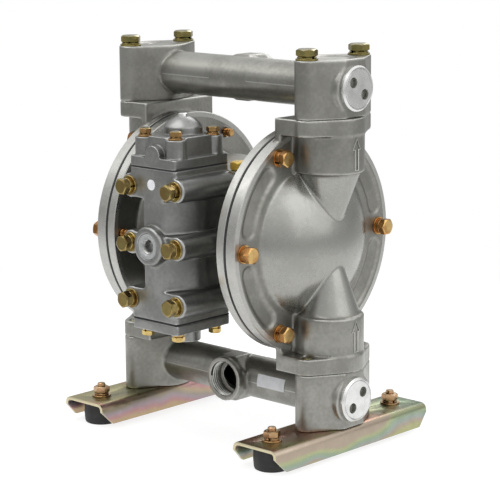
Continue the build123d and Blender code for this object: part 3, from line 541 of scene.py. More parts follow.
def seam_shape(level_z):
    """The low ridge that the two halves of the mould leave along the front and the rear of a tube."""
    shape = bmesh.new()
    seam = [(tube_radius - shell / 3, port_half_width), (tube_radius + seam_height, port_half_width),
            (tube_radius + seam_height, tube_end_x), (tube_radius - shell / 3, tube_end_x)]
    for side in (-1, 1):
        for face in (0.0, 180.0):
            turned(shape, seam, (0.0, 0.0, level_z), (side, 0, 0), (0, 1, 0), face - seam_half_angle,
                   face + seam_half_angle, 720)
    return shape


manifold_levels = {"inlet": -1, "outlet": 1}
for level, facing in manifold_levels.items():
    level_z = box_middle(f"{level}_manifold").z
    solid = cut_round(merged_node(f"{level}_manifold"), (0.0, facing * port_reach, level_z), (0, 1, 0),
                      (1, 0, 0), port_bore_radius, port_bore_depth)
    skin = cast_mesh(solid, finer_manifold(level_z, facing), manifold_voxel, 5)
    place_piece(f"{level}_manifold_casting", skin, cast_aluminium, "root",
                [f"{level}_manifold"], 180.0)
    place_piece(f"{level}_tube_seam", mesh_of("seam", seam_shape(level_z)), cast_aluminium, "root")


# Port threads
# Each port and the air inlet have a tapped pipe thread, seen as bright ridges that wind into the hole.
# The ridge is one turn after another of a small V, cut in the casting or in the pale inlet bushing.
def grained_material(name, dark, pale, metallic, roughness, grain):
    """A finish that drifts between two tones, with a number of grains to the metre."""
    material, tree, shader = new_material(name)
    place, _ = object_place(tree)
    tone = ranged(tree, noise(tree, place, grain), 0.35, 0.65)
    tree.links.new(mixed(tree, tone, (*dark, 1.0), (*pale, 1.0)), shader.inputs["Base Color"])
    shader.inputs["Metallic"].default_value = metallic
    sheen = ranged(tree, tone, 0.0, 1.0, roughness + 0.05, roughness - 0.05)
    join_input(tree, shader.inputs["Roughness"], sheen)
    return material


def make_wound_ridge():
    """A tree that winds a ridge round Z, with its radius, pitch, turns, depth and sides as inputs."""
    tree = bpy.data.node_groups.new("wound_ridge", "GeometryNodeTree")
    for name, kind in (("Start", "Geometry"), ("Radius", "Float"), ("Pitch", "Float"), ("Turns", "Float"),
                       ("Depth", "Float"), ("Sides", "Int"), ("Finish", "Material")):
        tree.interface.new_socket(name, in_out="INPUT", socket_type=f"NodeSocket{kind}")
    tree.interface.new_socket("Ridge", in_out="OUTPUT", socket_type="NodeSocketGeometry")
    given = tree.nodes.new("NodeGroupInput").outputs
    result = tree.nodes.new("NodeGroupOutput").inputs
    spiral = add_node(tree, "GeometryNodeCurveSpiral", Resolution=48)
    tree.links.new(given["Turns"], spiral.inputs["Rotations"])
    for end in ("Start Radius", "End Radius"):
        tree.links.new(given["Radius"], spiral.inputs[end])
    tree.links.new(maths(tree, "MULTIPLY", given["Turns"], given["Pitch"]), spiral.inputs["Height"])
    section = tree.nodes.new("GeometryNodeCurvePrimitiveCircle")
    tree.links.new(given["Sides"], section.inputs["Resolution"])
    tree.links.new(given["Depth"], section.inputs["Radius"])
    sweep = add_node(tree, "GeometryNodeCurveToMesh", Fill_Caps=True)
    tree.links.new(spiral.outputs["Curve"], sweep.inputs["Curve"])
    tree.links.new(section.outputs["Curve"], sweep.inputs["Profile Curve"])
    finish = tree.nodes.new("GeometryNodeSetMaterial")
    tree.links.new(sweep.outputs["Mesh"], finish.inputs["Geometry"])
    tree.links.new(given["Finish"], finish.inputs["Material"])
    tree.links.new(finish.outputs["Geometry"], result["Ridge"])
    return tree


def thread_mesh(radius, pitch, length, depth, finish, place, axis, sides=4):
    """A ridge that starts at a place and winds along an axis."""
    mesh = run_tree(bpy.data.meshes.new("start"), wound_ridge, Radius=radius, Pitch=pitch,
                    Turns=length / pitch, Depth=depth, Sides=sides, Finish=finish)
    turn = Vector(axis).to_track_quat("Z", "Y").to_matrix().to_4x4()
    mesh.transform(Matrix.Translation(place) @ turn)
    return mesh


wound_ridge = make_wound_ridge()
cut_thread = grained_material("cut_thread", (0.44, 0.44, 0.42), (0.54, 0.54, 0.52), 0.9, 0.34, 500.0)
port_thread_pitch = 0.0023
port_thread_length = 0.012
port_thread_depth = 0.0009
port_thread_start = 0.0018
for level, facing in manifold_levels.items():
    start = (0.0, facing * (port_reach - port_thread_start), box_middle(f"{level}_manifold").z)
    ridge = thread_mesh(port_bore_radius, port_thread_pitch, port_thread_length, port_thread_depth,
                        cut_thread, start, (0, -facing, 0))
    place_piece(f"{level}_port_thread", ridge, None, "root", crease=60.0)


# Valve body and its covers
# The air valve's housing is a darker die casting with three rows of bolt bosses, closed above and below by
# cast covers. The top cover steps in to a round cap for the reset button, with a small arch at its front.
# The third colour is the worn edges' colour, partly a painted highlight.
valve_casting = cast_material("valve_casting", (0.205, 0.209, 0.2), (0.28, 0.284, 0.276), (0.62, 0.63, 0.63))
valve_y = box_middle("valve_sleeve").y
button_proud = 0.002
cap_radius = 0.018
cap_inner_radius = 0.0055
cap_rim_height = 0.0065
cap_dome_height = 0.010
cap_base_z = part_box("reset_button")[1].z - button_proud - cap_dome_height
crown_radius = (cap_radius**2 + cap_dome_height**2) / (2 * cap_dome_height)
crown_centre = cap_base_z + cap_dome_height - crown_radius
crown = arc((0.0, crown_centre), crown_radius, math.degrees(math.acos(cap_radius / crown_radius)),
            math.degrees(math.acos(cap_inner_radius / crown_radius)), 20)
finer_cap = bmesh.new()
cap_low_z = cap_base_z - cap_rim_height
cap_profile = [(cap_radius - shell / 2, cap_low_z), (cap_radius, cap_low_z),
               *crown, (cap_inner_radius, crown[-1][1] - shell / 2), (cap_radius - shell, cap_base_z)]
turned(finer_cap, cap_profile, (0.0, valve_y, 0.0), (0, 0, 1), (1, 0, 0), steps=96)

for name, finer, voxel, rounds in (("valve_body", bmesh.new(), 0.00105, 6),
                                   ("valve_top_cover", finer_cap, 0.00065, 6),
                                   ("valve_bottom_cover", bmesh.new(), 0.0008, 4)):
    skin = cast_mesh(merged_node(name), finer, voxel, rounds)
    place_piece(f"{name}_casting", skin, valve_casting, "root", [name], 180.0)


# Air inlet bushing
# A pale turned bushing is pressed into the front boss of the valve body, with a quarter-inch tapped thread.
inlet_pale = grained_material("inlet_pale", (0.3, 0.31, 0.31), (0.37, 0.38, 0.38), 0.35, 0.5, 600.0)
low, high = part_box("air_inlet_bushing")
bushing_radius = (high.x - low.x) / 2
bushing_length = high.y - low.y
bushing_edge = 0.0008
inlet_bore_radius = 0.0064
inlet_mouth_radius = 0.0083
inlet_thread_pitch = 0.00134
inlet_thread_depth = 0.0005
inlet_thread_start = 0.0014
inlet_thread_short = 0.003
inlet_place = (0.0, low.y, (low.z + high.z) / 2)
bushing_shape = bmesh.new()
bushing_profile = [
    (inlet_bore_radius, bushing_length), (inlet_bore_radius, inlet_mouth_radius - inlet_bore_radius),
    (inlet_mouth_radius, 0.0), (bushing_radius - bushing_edge, 0.0), (bushing_radius, bushing_edge),
    (bushing_radius, bushing_length)]
turned(bushing_shape, bushing_profile, inlet_place, (0, 1, 0), (1, 0, 0), steps=96)
place_piece("inlet_bushing", mesh_of("inlet_bushing", bushing_shape), inlet_pale, "root",
            ["air_inlet_bushing"])
inlet_thread_place = (0.0, low.y + inlet_thread_start, inlet_place[2])
ridge = thread_mesh(inlet_bore_radius, inlet_thread_pitch, bushing_length - inlet_thread_short,
                    inlet_thread_depth, cut_thread, inlet_thread_place, (0, 1, 0))
place_piece("inlet_bushing_thread", ridge, None, "root", crease=60.0)


# Bolts and nuts
# Hexagon bolts with a spring washer and a flat washer hold the castings together. They are zinc plated
# and yellow passivated, so their colour drifts from gold to olive and pink; tops and flanks carry painted
# light and shade.
def zinc_material(name, axis, top, flank_shading_colour, tint):
    """Yellow zinc: one colour on the heads' tops and another on their flanks, as painted light and shade by
    the way they face, and a tint that comes and goes.
    """
    material, tree, shader = new_material(name)
    place, _ = object_place(tree)
    facing = tree.nodes.new("ShaderNodeSeparateXYZ")
    tree.links.new(tree.nodes.new("ShaderNodeNewGeometry").outputs["Normal"], facing.inputs[0])
    # Painted light and shade: faces turned along the axis get the top colour, the rest the flank colour.
    end_on_shading = ranged(tree, maths(tree, "ABSOLUTE", facing.outputs[axis]), 0.7, 0.97)
    colour = mixed(tree, end_on_shading, (*flank_shading_colour, 1.0), (*top, 1.0))
    patches = ranged(tree, noise(tree, place, 130.0, 1.5), 0.4, 0.66, 0.0, 0.75)
    tree.links.new(mixed(tree, patches, colour, (*tint, 1.0)), shader.inputs["Base Color"])
    shader.inputs["Metallic"].default_value = 1.0
    sheen = ranged(tree, noise(tree, place, 160.0, 1.5), 0.3, 0.7, 0.16, 0.28)
    join_input(tree, shader.inputs["Roughness"], sheen)
    return material


chamfer_slope = 30.0
face_share = 0.87


def hexagon_reach(flats, angle):
    """How far a hexagon reaches at an angle."""
    sector = math.radians(60.0)
    return flats / 2 / math.cos(angle % sector - sector / 2)


def add_hexagon(shape, flats, low, high, steps=72):
    """Adds a hexagon head or nut standing on Z, whose corners are chamfered in curves at both ends."""
    slope = math.tan(math.radians(chamfer_slope))
    face_radius = flats / 2 * face_share
    angles = [2 * math.pi * i / steps for i in range(steps)]
    reaches = [hexagon_reach(flats, angle) for angle in angles]
    falls = [(reach - face_radius) * slope for reach in reaches]
    rings = [
        [(face_radius, low)] * steps,
        [(reach, low + fall) for reach, fall in zip(reaches, falls)],
        [(reach, high - fall) for reach, fall in zip(reaches, falls)],
        [(face_radius, high)] * steps,
    ]
    made = [[shape.verts.new((reach * math.cos(angle), reach * math.sin(angle), z))
             for angle, (reach, z) in zip(angles, ring)] for ring in rings]
    for ring, following in zip(made, made[1:]):
        for i in range(steps):
            j = (i + 1) % steps
            shape.faces.new((ring[i], ring[j], following[j], following[i]))
    shape.faces.new(list(reversed(made[0])))
    shape.faces.new(made[-1])


def add_disc(shape, radius, low, high, chamfer=0.0002, start=0.0, end=360.0, bore=0.0):
    """Adds a washer or a plain shank standing on Z, with its edges broken."""
    profile = [(bore, low), (radius - chamfer, low), (radius, low + chamfer), (radius, high - chamfer),
               (radius - chamfer, high), (bore, high)]
    turned(shape, profile, (0, 0, 0), (0, 0, 1), (1, 0, 0), start, end, 48)


washer_thickness = 0.0015
washer_gap = 0.0001
spring_share = 1.02
spring_edge = 0.00025
spring_gap = 8.0
shank_edge = 0.0005
thread_start = 0.0008
thread_pitch = 0.00125
thread_depth = 0.0004


def add_washers(shape, size):
    """Adds the flat washer and the split spring washer under a head or a nut."""
    flat_top = min(washer_thickness, size["stack"] / 2)
    add_disc(shape, size["washer"], 0.0, flat_top, bore=size["thread"])
    add_disc(shape, size["flats"] / 2 * spring_share, flat_top + washer_gap, size["stack"] - washer_gap,
             spring_edge, spring_gap, 360.0 - spring_gap, size["thread"])


def threaded_shank(thread, low, high, ridged_low, ridged_high):
    """A shank on Z with a ridge wound over part of it."""
    shape = bmesh.new()
    add_disc(shape, thread - thread_depth, low, high, shank_edge)
    shank = mesh_of("shank", shape)
    ridge = thread_mesh(thread - thread_depth, thread_pitch, ridged_high - ridged_low, thread_depth, None,
                        (0, 0, ridged_low), (0, 0, 1))
    return joined("threaded_shank", shank, ridge)


def template_object(mesh):
    """An object that a tree copies, with no finish of its own."""
    mesh.materials.clear()
    mesh.shade_smooth()
    mesh.set_sharp_from_angle(angle=math.radians(25.0))
    return working_object(mesh)


def bolt_object(size, shank, ridged):
    """A bolt with its washers, seated on the ground plane, as a template for the tree."""
    shape = bmesh.new()
    add_washers(shape, size)
    add_hexagon(shape, size["flats"], size["stack"], size["stack"] + size["head"])
    if ridged:
        rod = threaded_shank(size["thread"], -shank, size["stack"], thread_start - shank, ridged - shank)
        return template_object(joined("bolt", mesh_of("head", shape), rod))
    add_disc(shape, size["thread"], -shank, size["stack"], shank_edge)
    return template_object(mesh_of("bolt", shape))


def make_seated_tree():
    """A tree that seats a template at every point, facing one way, each turned by its own random angle."""
    tree = bpy.data.node_groups.new("seated_fasteners", "GeometryNodeTree")
    for name, kind in (("Seats", "Geometry"), ("Template", "Object"), ("Facing", "Vector"), ("Seed", "Int"),
                       ("Finish", "Material")):
        tree.interface.new_socket(name, in_out="INPUT", socket_type=f"NodeSocket{kind}")
    tree.interface.new_socket("Fasteners", in_out="OUTPUT", socket_type="NodeSocketGeometry")
    given = tree.nodes.new("NodeGroupInput").outputs
    result = tree.nodes.new("NodeGroupOutput").inputs
    points = tree.nodes.new("GeometryNodeMeshToPoints")
    template = tree.nodes.new("GeometryNodeObjectInfo")
    upright = add_node(tree, "FunctionNodeAlignRotationToVector", {"axis": "Z"})
    turn_angle = add_node(tree, "FunctionNodeRandomValue", {"data_type": "FLOAT"})
    turn_angle.inputs[3].default_value = 2 * math.pi
    own_turn = add_node(tree, "FunctionNodeAxisAngleToRotation", Axis=(0.0, 0.0, 1.0))
    both = add_node(tree, "FunctionNodeRotateRotation", {"rotation_space": "LOCAL"})
    seated = tree.nodes.new("GeometryNodeInstanceOnPoints")
    realized = tree.nodes.new("GeometryNodeRealizeInstances")
    finish = tree.nodes.new("GeometryNodeSetMaterial")
    tree.links.new(given["Seats"], points.inputs["Mesh"])
    tree.links.new(given["Template"], template.inputs["Object"])
    tree.links.new(given["Facing"], upright.inputs["Vector"])
    tree.links.new(given["Seed"], turn_angle.inputs["Seed"])
    tree.links.new(turn_angle.outputs[1], own_turn.inputs["Angle"])
    tree.links.new(upright.outputs["Rotation"], both.inputs["Rotation"])
    tree.links.new(own_turn.outputs["Rotation"], both.inputs["Rotate By"])
    tree.links.new(points.outputs["Points"], seated.inputs["Points"])
    tree.links.new(template.outputs["Geometry"], seated.inputs["Instance"])
    tree.links.new(both.outputs["Rotation"], seated.inputs["Rotation"])
    tree.links.new(seated.outputs["Instances"], realized.inputs["Geometry"])
    tree.links.new(realized.outputs["Geometry"], finish.inputs["Geometry"])
    tree.links.new(given["Finish"], finish.inputs["Material"])
    tree.links.new(finish.outputs["Geometry"], result["Fasteners"])
    return tree


def loose_boxes(node):
    """The low and high corner of each loose part of a CAD node, in a fixed order."""
    shape = bmesh.new()
    shape.from_mesh(merged_node(node))
    unseen = set(shape.verts)
    boxes = []
    while unseen:
        stack = [unseen.pop()]
        part = []
        while stack:
            vertex = stack.pop()
            part.append(vertex.co.copy())
            for edge in vertex.link_edges:
                other = edge.other_vert(vertex)
                if other in unseen:
                    unseen.discard(other)
                    stack.append(other)
        boxes.append((Vector([min(c[i] for c in part) for i in range(3)]),
                      Vector([max(c[i] for c in part) for i in range(3)])))
    shape.free()
    return sorted(boxes, key=lambda box: tuple(round(c, 4) for c in box[0]))


def seat_points(node, facing, proud):
    """The seats of a node's fasteners, drawn back from their tops by a height, and their shanks' length."""
    axis = max(range(3), key=lambda i: abs(facing[i]))
    seats = []
    for low, high in loose_boxes(node):
        seat = (low + high) / 2
        top = high[axis] if facing[axis] > 0 else low[axis]
        seat[axis] = top - facing[axis] * proud
        seats.append(seat)
    mesh = bpy.data.meshes.new("seats")
    mesh.from_pydata(seats, [], [])
    return mesh, high[axis] - low[axis] - proud


def seat_all(seats, template, facing, seed, finish):
    """The fasteners on their seats as one mesh, with the template removed."""
    mesh = run_tree(seats, seated_fasteners, Template=template, Facing=[float(part) for part in facing],
                    Seed=seed, Finish=finish)
    bpy.data.objects.remove(template)
    return mesh


seated_fasteners = make_seated_tree()
m10 = {"thread": 0.005, "flats": 0.017, "head": 0.007, "washer": 0.010, "stack": 0.003}
m8_chamber = {"thread": 0.004, "flats": 0.014, "head": 0.0065, "washer": 0.0084, "stack": 0.0055}
m8 = {"thread": 0.004, "flats": 0.0135, "head": 0.007, "washer": 0.009, "stack": 0.005}
m6 = {"thread": 0.003, "flats": 0.0105, "head": 0.0048, "washer": 0.0064, "stack": 0.0028}
# Each finish paints the heads' tops and flanks in different tones by the way they face: painted light and
# shade.
orange_zinc = zinc_material("orange_zinc", "X", (0.74, 0.5, 0.2), (0.3, 0.15, 0.05), (0.5, 0.25, 0.09))
gold_zinc = zinc_material("gold_zinc", "Y", (0.21, 0.17, 0.06), (0.62, 0.47, 0.19), (0.2, 0.13, 0.05))
olive_zinc = zinc_material("olive_zinc", "Z", (0.46, 0.43, 0.33), (0.3, 0.25, 0.09), (0.19, 0.18, 0.07))
brown_zinc = zinc_material("brown_zinc", "Z", (0.3, 0.27, 0.12), (0.46, 0.26, 0.11), (0.3, 0.2, 0.08))
lower_zinc = zinc_material("lower_zinc", "Z", (0.6, 0.4, 0.14), (0.62, 0.47, 0.17), (0.5, 0.32, 0.12))
tail_thread = 0.011
bolt_groups = (
    ("right_chamber_bolts", m8_chamber, (1, 0, 0), orange_zinc, 3, tail_thread),
    ("left_chamber_bolts", m8_chamber, (-1, 0, 0), orange_zinc, 5, tail_thread),
    ("valve_body_bolts", m8, (0, -1, 0), gold_zinc, 8, 0.0),
    ("top_cover_bolts", m6, (0, 0, 1), brown_zinc, 2, 0.0),
    ("bottom_cover_bolts", m6, (0, 0, -1), lower_zinc, 4, 0.0),
    ("outlet_manifold_bolts", m10, (0, 0, 1), olive_zinc, 9, 0.0),
    ("inlet_manifold_bolts", m10, (0, 0, -1), olive_zinc, 6, 0.0),
)
for node, size, facing, finish, seed, ridged in bolt_groups:
    seats, shank = seat_points(node, facing, size["head"] + size["stack"])
    bolts = seat_all(seats, bolt_object(size, shank, ridged), facing, seed, finish)
    place_piece(f"{node}_set", bolts, None, "root", [node], 25.0)


# Vent plug
# A small hexagon plug, bright yellow, closes a hole in the top of the centre body behind the air valve.
vent_yellow = grained_material("vent_yellow", (0.78, 0.5, 0.08), (0.9, 0.63, 0.13), 0.45, 0.28, 200.0)
vent_flats = 0.016
vent_head = 0.008
vent_thread_radius = 0.005
low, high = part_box("vent_plug")
vent_shape = bmesh.new()
add_hexagon(vent_shape, vent_flats, -vent_head, 0.0)
add_disc(vent_shape, vent_thread_radius, low.z - high.z, -vent_head)
vent_mesh = mesh_of("vent_plug_piece", vent_shape)
vent_mesh.transform(Matrix.Translation(((low.x + high.x) / 2, (low.y + high.y) / 2, high.z)))
place_piece("vent_plug_piece", vent_mesh, vent_yellow, "root", ["vent_plug"], 25.0)


# End plugs
# Turned aluminium plugs close the four ends of the manifolds. Each has a chamfered bright face with a
# shallow groove near its edge and two blind holes for a pin spanner, lined with a dark sleeve as painted
# shade.
plug_bright, tree, shader = new_material("plug_bright")
place, _ = object_place(tree)
stain = ranged(tree, noise(tree, place, 90.0), 0.35, 0.7)
plug_tone = mixed(tree, stain, (0.74, 0.74, 0.73, 1.0), (0.62, 0.62, 0.61, 1.0))
tree.links.new(plug_tone, shader.inputs["Base Color"])
shader.inputs["Metallic"].default_value = 1.0
join_input(tree, shader.inputs["Roughness"], ranged(tree, noise(tree, place, 700.0), 0.3, 0.7, 0.2, 0.32))
# Painted shade: the dark finish of the sleeves inside the spanner holes.
hole_dark = grained_material("hole_dark", (0.17, 0.17, 0.15), (0.26, 0.26, 0.23), 0.4, 0.5, 500.0)
plug_radius = 0.0204
plug_thread_radius = 0.017
plug_edge = 0.0016
plug_groove_radius = 0.0178
plug_groove_width = 0.0012
plug_groove_depth = 0.0010
plug_hole_radius = 0.0048
plug_hole_offset = 0.0095
plug_hole_depth = 0.004
hole_lining = 0.0003
lining_set_back = 0.0006
plug_turns = {"outlet": 143.0, "inlet": 42.0}
for level, hole_turn in plug_turns.items():
    for side, name in ((1, "right"), (-1, "left")):
        low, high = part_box(f"{name}_{level}_plug")
        inner_x, face_x = sorted((abs(low.x), abs(high.x)))
        level_z = (low.z + high.z) / 2
        axis = (side, 0, 0)
        shape = bmesh.new()
        profile = [
            (0.0, inner_x), (plug_thread_radius, inner_x), (plug_thread_radius, end_boss_x),
            (plug_radius, end_boss_x), (plug_radius, face_x - plug_edge), (plug_radius - plug_edge, face_x),
            (plug_groove_radius + plug_groove_width / 2, face_x),
            (plug_groove_radius, face_x - plug_groove_depth),
            (plug_groove_radius - plug_groove_width / 2, face_x), (0.0, face_x)]
        turned(shape, profile, (0.0, 0.0, level_z), axis, (0, 1, 0), steps=120)
        plug_mesh = mesh_of("plug", shape)
        # Painted shade: a thin dark sleeve inside each blind hole.
        hole_shade_linings = bmesh.new()
        for extra in (0.0, 180.0):
            angle = math.radians(hole_turn + extra)
            place = (side * face_x, plug_hole_offset * math.cos(angle),
                     level_z + plug_hole_offset * math.sin(angle))
            plug_mesh = cut_round(plug_mesh, place, axis, (0, 1, 0), plug_hole_radius, plug_hole_depth)
            lining = [(0.0, -plug_hole_depth), (plug_hole_radius, -plug_hole_depth),
                      (plug_hole_radius, -lining_set_back),
                      (plug_hole_radius - hole_lining, -lining_set_back),
                      (plug_hole_radius - hole_lining, hole_lining - plug_hole_depth),
                      (0.0, hole_lining - plug_hole_depth)]
            turned(hole_shade_linings, lining, place, axis, (0, 1, 0), steps=48)
        place_piece(f"{name}_{level}_plug_piece", plug_mesh, plug_bright, "root",
                    [f"{name}_{level}_plug"])
        place_piece(f"{name}_{level}_plug_holes", mesh_of("hole_shade_linings", hole_shade_linings), hole_dark, "root")


# Base rails
# Each rail is folded from 3 mm sheet with flared sides and cut corners, zinc plated and passivated, so its
# colour runs through olive, pink, blue and green bands with gold edges. The blocks are bolted down on it.
def bevelled_copy(node, width):
    """A CAD node's mesh with its flat faces joined and its hard edges broken."""
    shape = bmesh.new()
    shape.from_mesh(merged_node(node))
    bmesh.ops.dissolve_limit(shape, angle_limit=math.radians(0.6), verts=shape.verts, edges=shape.edges)
    mesh = bpy.data.meshes.new(node)
    shape.to_mesh(mesh)
    shape.free()
    obj = working_object(mesh)
    bevel = obj.modifiers.new("bevel", "BEVEL")
    bevel.width = width
    bevel.segments = 2
    bevel.limit_method = "ANGLE"
    bevel.angle_limit = math.radians(35.0)
    return evaluated_mesh(obj)


rail_zinc, tree, shader = new_material("rail_zinc")
place, parts = object_place(tree)
rail_low, rail_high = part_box("right_base_rail")
drop = maths(tree, "DIVIDE", maths(tree, "SUBTRACT", parts["Z"], rail_low.z), rail_high.z - rail_low.z)
wander = maths(tree, "MULTIPLY", maths(tree, "SUBTRACT", noise(tree, place, 11.0, 2.0), 0.5), 2.2)
ramp = tree.nodes.new("ShaderNodeValToRGB")
bands = ((0.0, (0.5, 0.44, 0.2)), (0.16, (0.46, 0.29, 0.26)), (0.34, (0.34, 0.36, 0.4)),
         (0.5, (0.3, 0.37, 0.27)), (0.68, (0.46, 0.44, 0.24)), (0.86, (0.48, 0.3, 0.28)))
while len(ramp.color_ramp.elements) < len(bands):
    ramp.color_ramp.elements.new(0.5)
for element, (position, colour) in zip(ramp.color_ramp.elements, bands):
    element.position = position
    element.color = (*colour, 1.0)
tree.links.new(maths(tree, "ADD", drop, wander), ramp.inputs["Fac"])
facing = tree.nodes.new("ShaderNodeSeparateXYZ")
tree.links.new(tree.nodes.new("ShaderNodeNewGeometry").outputs["Normal"], facing.inputs[0])
patch = ranged(tree, noise(tree, place, 26.0), 0.42, 0.6)
top_colour = mixed(tree, patch, (0.3, 0.28, 0.15, 1.0), (0.38, 0.22, 0.15, 1.0))
greener = ranged(tree, parts["Y"], 0.02, 0.11)
top_colour = mixed(tree, greener, top_colour, (0.26, 0.33, 0.22, 1.0))
flat = ranged(tree, facing.outputs["Z"], 0.75, 0.97)
right_side = ranged(tree, parts["X"], -0.01, 0.01)
cast_over = mixed(tree, right_side, (0.46, 0.25, 0.27, 1.0), (0.31, 0.4, 0.25, 1.0))
side_colour = mixed(tree, 0.4, ramp.outputs["Color"], cast_over)
colour = mixed(tree, flat, side_colour, top_colour)
cut_end = ranged(tree, maths(tree, "ABSOLUTE", facing.outputs["Y"]), 0.5, 0.9)
tree.links.new(mixed(tree, cut_end, colour, (0.62, 0.56, 0.38, 1.0)), shader.inputs["Base Color"])
shader.inputs["Metallic"].default_value = 1.0
join_input(tree, shader.inputs["Roughness"], ranged(tree, noise(tree, place, 120.0), 0.3, 0.7, 0.26, 0.4))
rail_edge = 0.0005
for name in ("right", "left"):
    sheet = bevelled_copy(f"{name}_base_rail", rail_edge)
    place_piece(f"{name}_rail_sheet", sheet, rail_zinc, "root", [f"{name}_base_rail"], 30.0)


# Feet
# A round rubber foot is bonded to a steel plate with a stud, which passes up through the rail. A nut with a
# spring washer and a flat washer holds it there.
rubber_black, tree, shader = new_material("rubber_black")
place, _ = object_place(tree)
dust = ranged(tree, noise(tree, place, 90.0), 0.4, 0.75)
tree.links.new(mixed(tree, dust, (0.012, 0.012, 0.012, 1.0), (0.028, 0.028, 0.027, 1.0)),
               shader.inputs["Base Color"])
shader.inputs["Roughness"].default_value = 0.62
# Painted light and shade: the nuts' tops and flanks differ in tone by the way they face.
pink_zinc = zinc_material("pink_zinc", "Z", (0.56, 0.42, 0.28), (0.5, 0.31, 0.18), (0.4, 0.26, 0.12))
foot_low_round = ((0.0022, 0.0), (0.0012, 0.0006), (0.0006, 0.0022))
foot_top_round = ((0.0005, 0.0008), (0.0012, 0.0))
foot_shape = bmesh.new()
for low, high in loose_boxes("rubber_feet"):
    radius = (high.x - low.x) / 2
    height = high.z - low.z
    profile = [(0.0, 0.0), *((radius - inset, rise) for inset, rise in foot_low_round), (radius, height / 2),
               *((radius - inset, height - fall) for inset, fall in foot_top_round), (0.0, height)]
    turned(foot_shape, profile, ((low.x + high.x) / 2, (low.y + high.y) / 2, low.z), (0, 0, 1), (1, 0, 0),
           steps=72)
place_piece("feet_rubber", mesh_of("feet_rubber", foot_shape), rubber_black, "root",
            ["rubber_feet"])

m8_nut = {"thread": 0.004, "flats": 0.0135, "head": 0.0065, "washer": 0.009, "stack": 0.0034}
nut_shape = bmesh.new()
add_washers(nut_shape, m8_nut)
add_hexagon(nut_shape, m8_nut["flats"], m8_nut["stack"], m8_nut["stack"] + m8_nut["head"])
seats, _ = seat_points("foot_nuts", (0, 0, 1), m8_nut["stack"] + m8_nut["head"])
nuts = seat_all(seats, template_object(mesh_of("nut", nut_shape)), (0, 0, 1), 11, pink_zinc)
place_piece("foot_nut_set", nuts, None, "root", ["foot_nuts"], 25.0)

low, high = loose_boxes("foot_studs")[0]
stud_plate = 0.002
stud_thread_gap = 0.001
stud_length = high.z - low.z
stud_shape = bmesh.new()
add_disc(stud_shape, (high.x - low.x) / 2, 0.0, stud_plate)
stud_rod = threaded_shank(m8_nut["thread"], stud_plate, stud_length, stud_plate + stud_thread_gap,
                          stud_length - stud_thread_gap)
seats, _ = seat_points("foot_studs", (0, 0, 1), stud_length)
studs = seat_all(seats, template_object(joined("stud", mesh_of("plate", stud_shape), stud_rod)), (0, 0, 1), 1,
                 pink_zinc)
place_piece("foot_stud_set", studs, None, "root", ["foot_studs"], 25.0)


# Exhaust silencer
# A black moulded silencer screws into the rear of the centre body by its hexagon. The air leaves through
# the slots round its barrel.
silencer_black = grained_material("silencer_black", (0.019, 0.019, 0.02), (0.027, 0.027, 0.028), 0.0, 0.43,
                                  250.0)
low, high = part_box("exhaust_silencer")
silencer_place = (0.0, 0.0, (low.z + high.z) / 2)
silencer_radius = (high.z - low.z) / 2
silencer_thread_radius = 0.012
silencer_thread_length = 0.014
silencer_hexagon_flats = 0.030
silencer_hexagon_length = 0.013
hexagon_start = low.y + silencer_thread_length
hexagon_end = hexagon_start + silencer_hexagon_length
slot_count = 4
slot_width = 0.003
slot_depth = 0.004
step = (high.y - hexagon_end) / (slot_count + 1)
profile = [(0.0, low.y), (silencer_thread_radius, low.y), (silencer_thread_radius, hexagon_end),
           (silencer_radius - slot_width, hexagon_end), (silencer_radius, hexagon_end + slot_width)]
for i in range(slot_count):
    middle = hexagon_end + (i + 1) * step
    slot_start = middle - slot_width / 2
    slot_end = middle + slot_width / 2
    profile += [(silencer_radius, slot_start), (silencer_radius - slot_depth, slot_start),
                (silencer_radius - slot_depth, slot_end), (silencer_radius, slot_end)]
profile += [(silencer_radius, high.y - slot_width), (silencer_radius - slot_width, high.y), (0.0, high.y)]
silencer_shape = bmesh.new()
turned(silencer_shape, profile, silencer_place, (0, 1, 0), (1, 0, 0), steps=96)
hexagon_shape = bmesh.new()
add_hexagon(hexagon_shape, silencer_hexagon_flats, 0.0, silencer_hexagon_length)
hexagon_mesh = mesh_of("hexagon", hexagon_shape)
hexagon_mesh.transform(Matrix.Translation((0, hexagon_end, silencer_place[2]))
                       @ Matrix.Rotation(math.pi / 2, 4, "X"))
place_piece("silencer_moulding", joined("silencer", mesh_of("barrel", silencer_shape), hexagon_mesh),
            silencer_black, "root", ["exhaust_silencer"], 25.0)


# Tube label and valve seal
# A pale label is stuck round the front of the inlet tube beside the port. A small round seal of the same
# stock is stuck on the front of the valve body.
label_white = grained_material("label_white", (0.62, 0.63, 0.65), (0.69, 0.7, 0.72), 0.0, 0.38, 160.0)
label_left_x = 0.0355
label_right_x = 0.0695
label_low_turn = -27.0
label_high_turn = 7.0
label_thickness = 0.0004
inlet_level_z = box_middle("inlet_manifold").z
label_shape = bmesh.new()
label_inner = tube_radius - label_thickness
label_outer = tube_radius + label_thickness
label_profile = [(label_inner, label_left_x), (label_outer, label_left_x), (label_outer, label_right_x),
                 (label_inner, label_right_x)]
turned(label_shape, label_profile, (0.0, 0.0, inlet_level_z), (1, 0, 0), (0, -1, 0), label_low_turn,
       label_high_turn, 240)
place_piece("tube_label", mesh_of("tube_label", label_shape), label_white, "root")

seal_x = -0.001
seal_y = -0.117
seal_rise = 0.055
seal_radius = 0.0048
seal_thickness = 0.0004
seal_shape = bmesh.new()
turned(seal_shape, [(0.0, -seal_thickness), (seal_radius, -seal_thickness), (seal_radius, seal_thickness),
                    (0.0, seal_thickness)],
       (seal_x, seal_y, chamber_z + seal_rise), (0, -1, 0), (1, 0, 0), steps=64)
place_piece("valve_seal", mesh_of("valve_seal", seal_shape), label_white, "root")


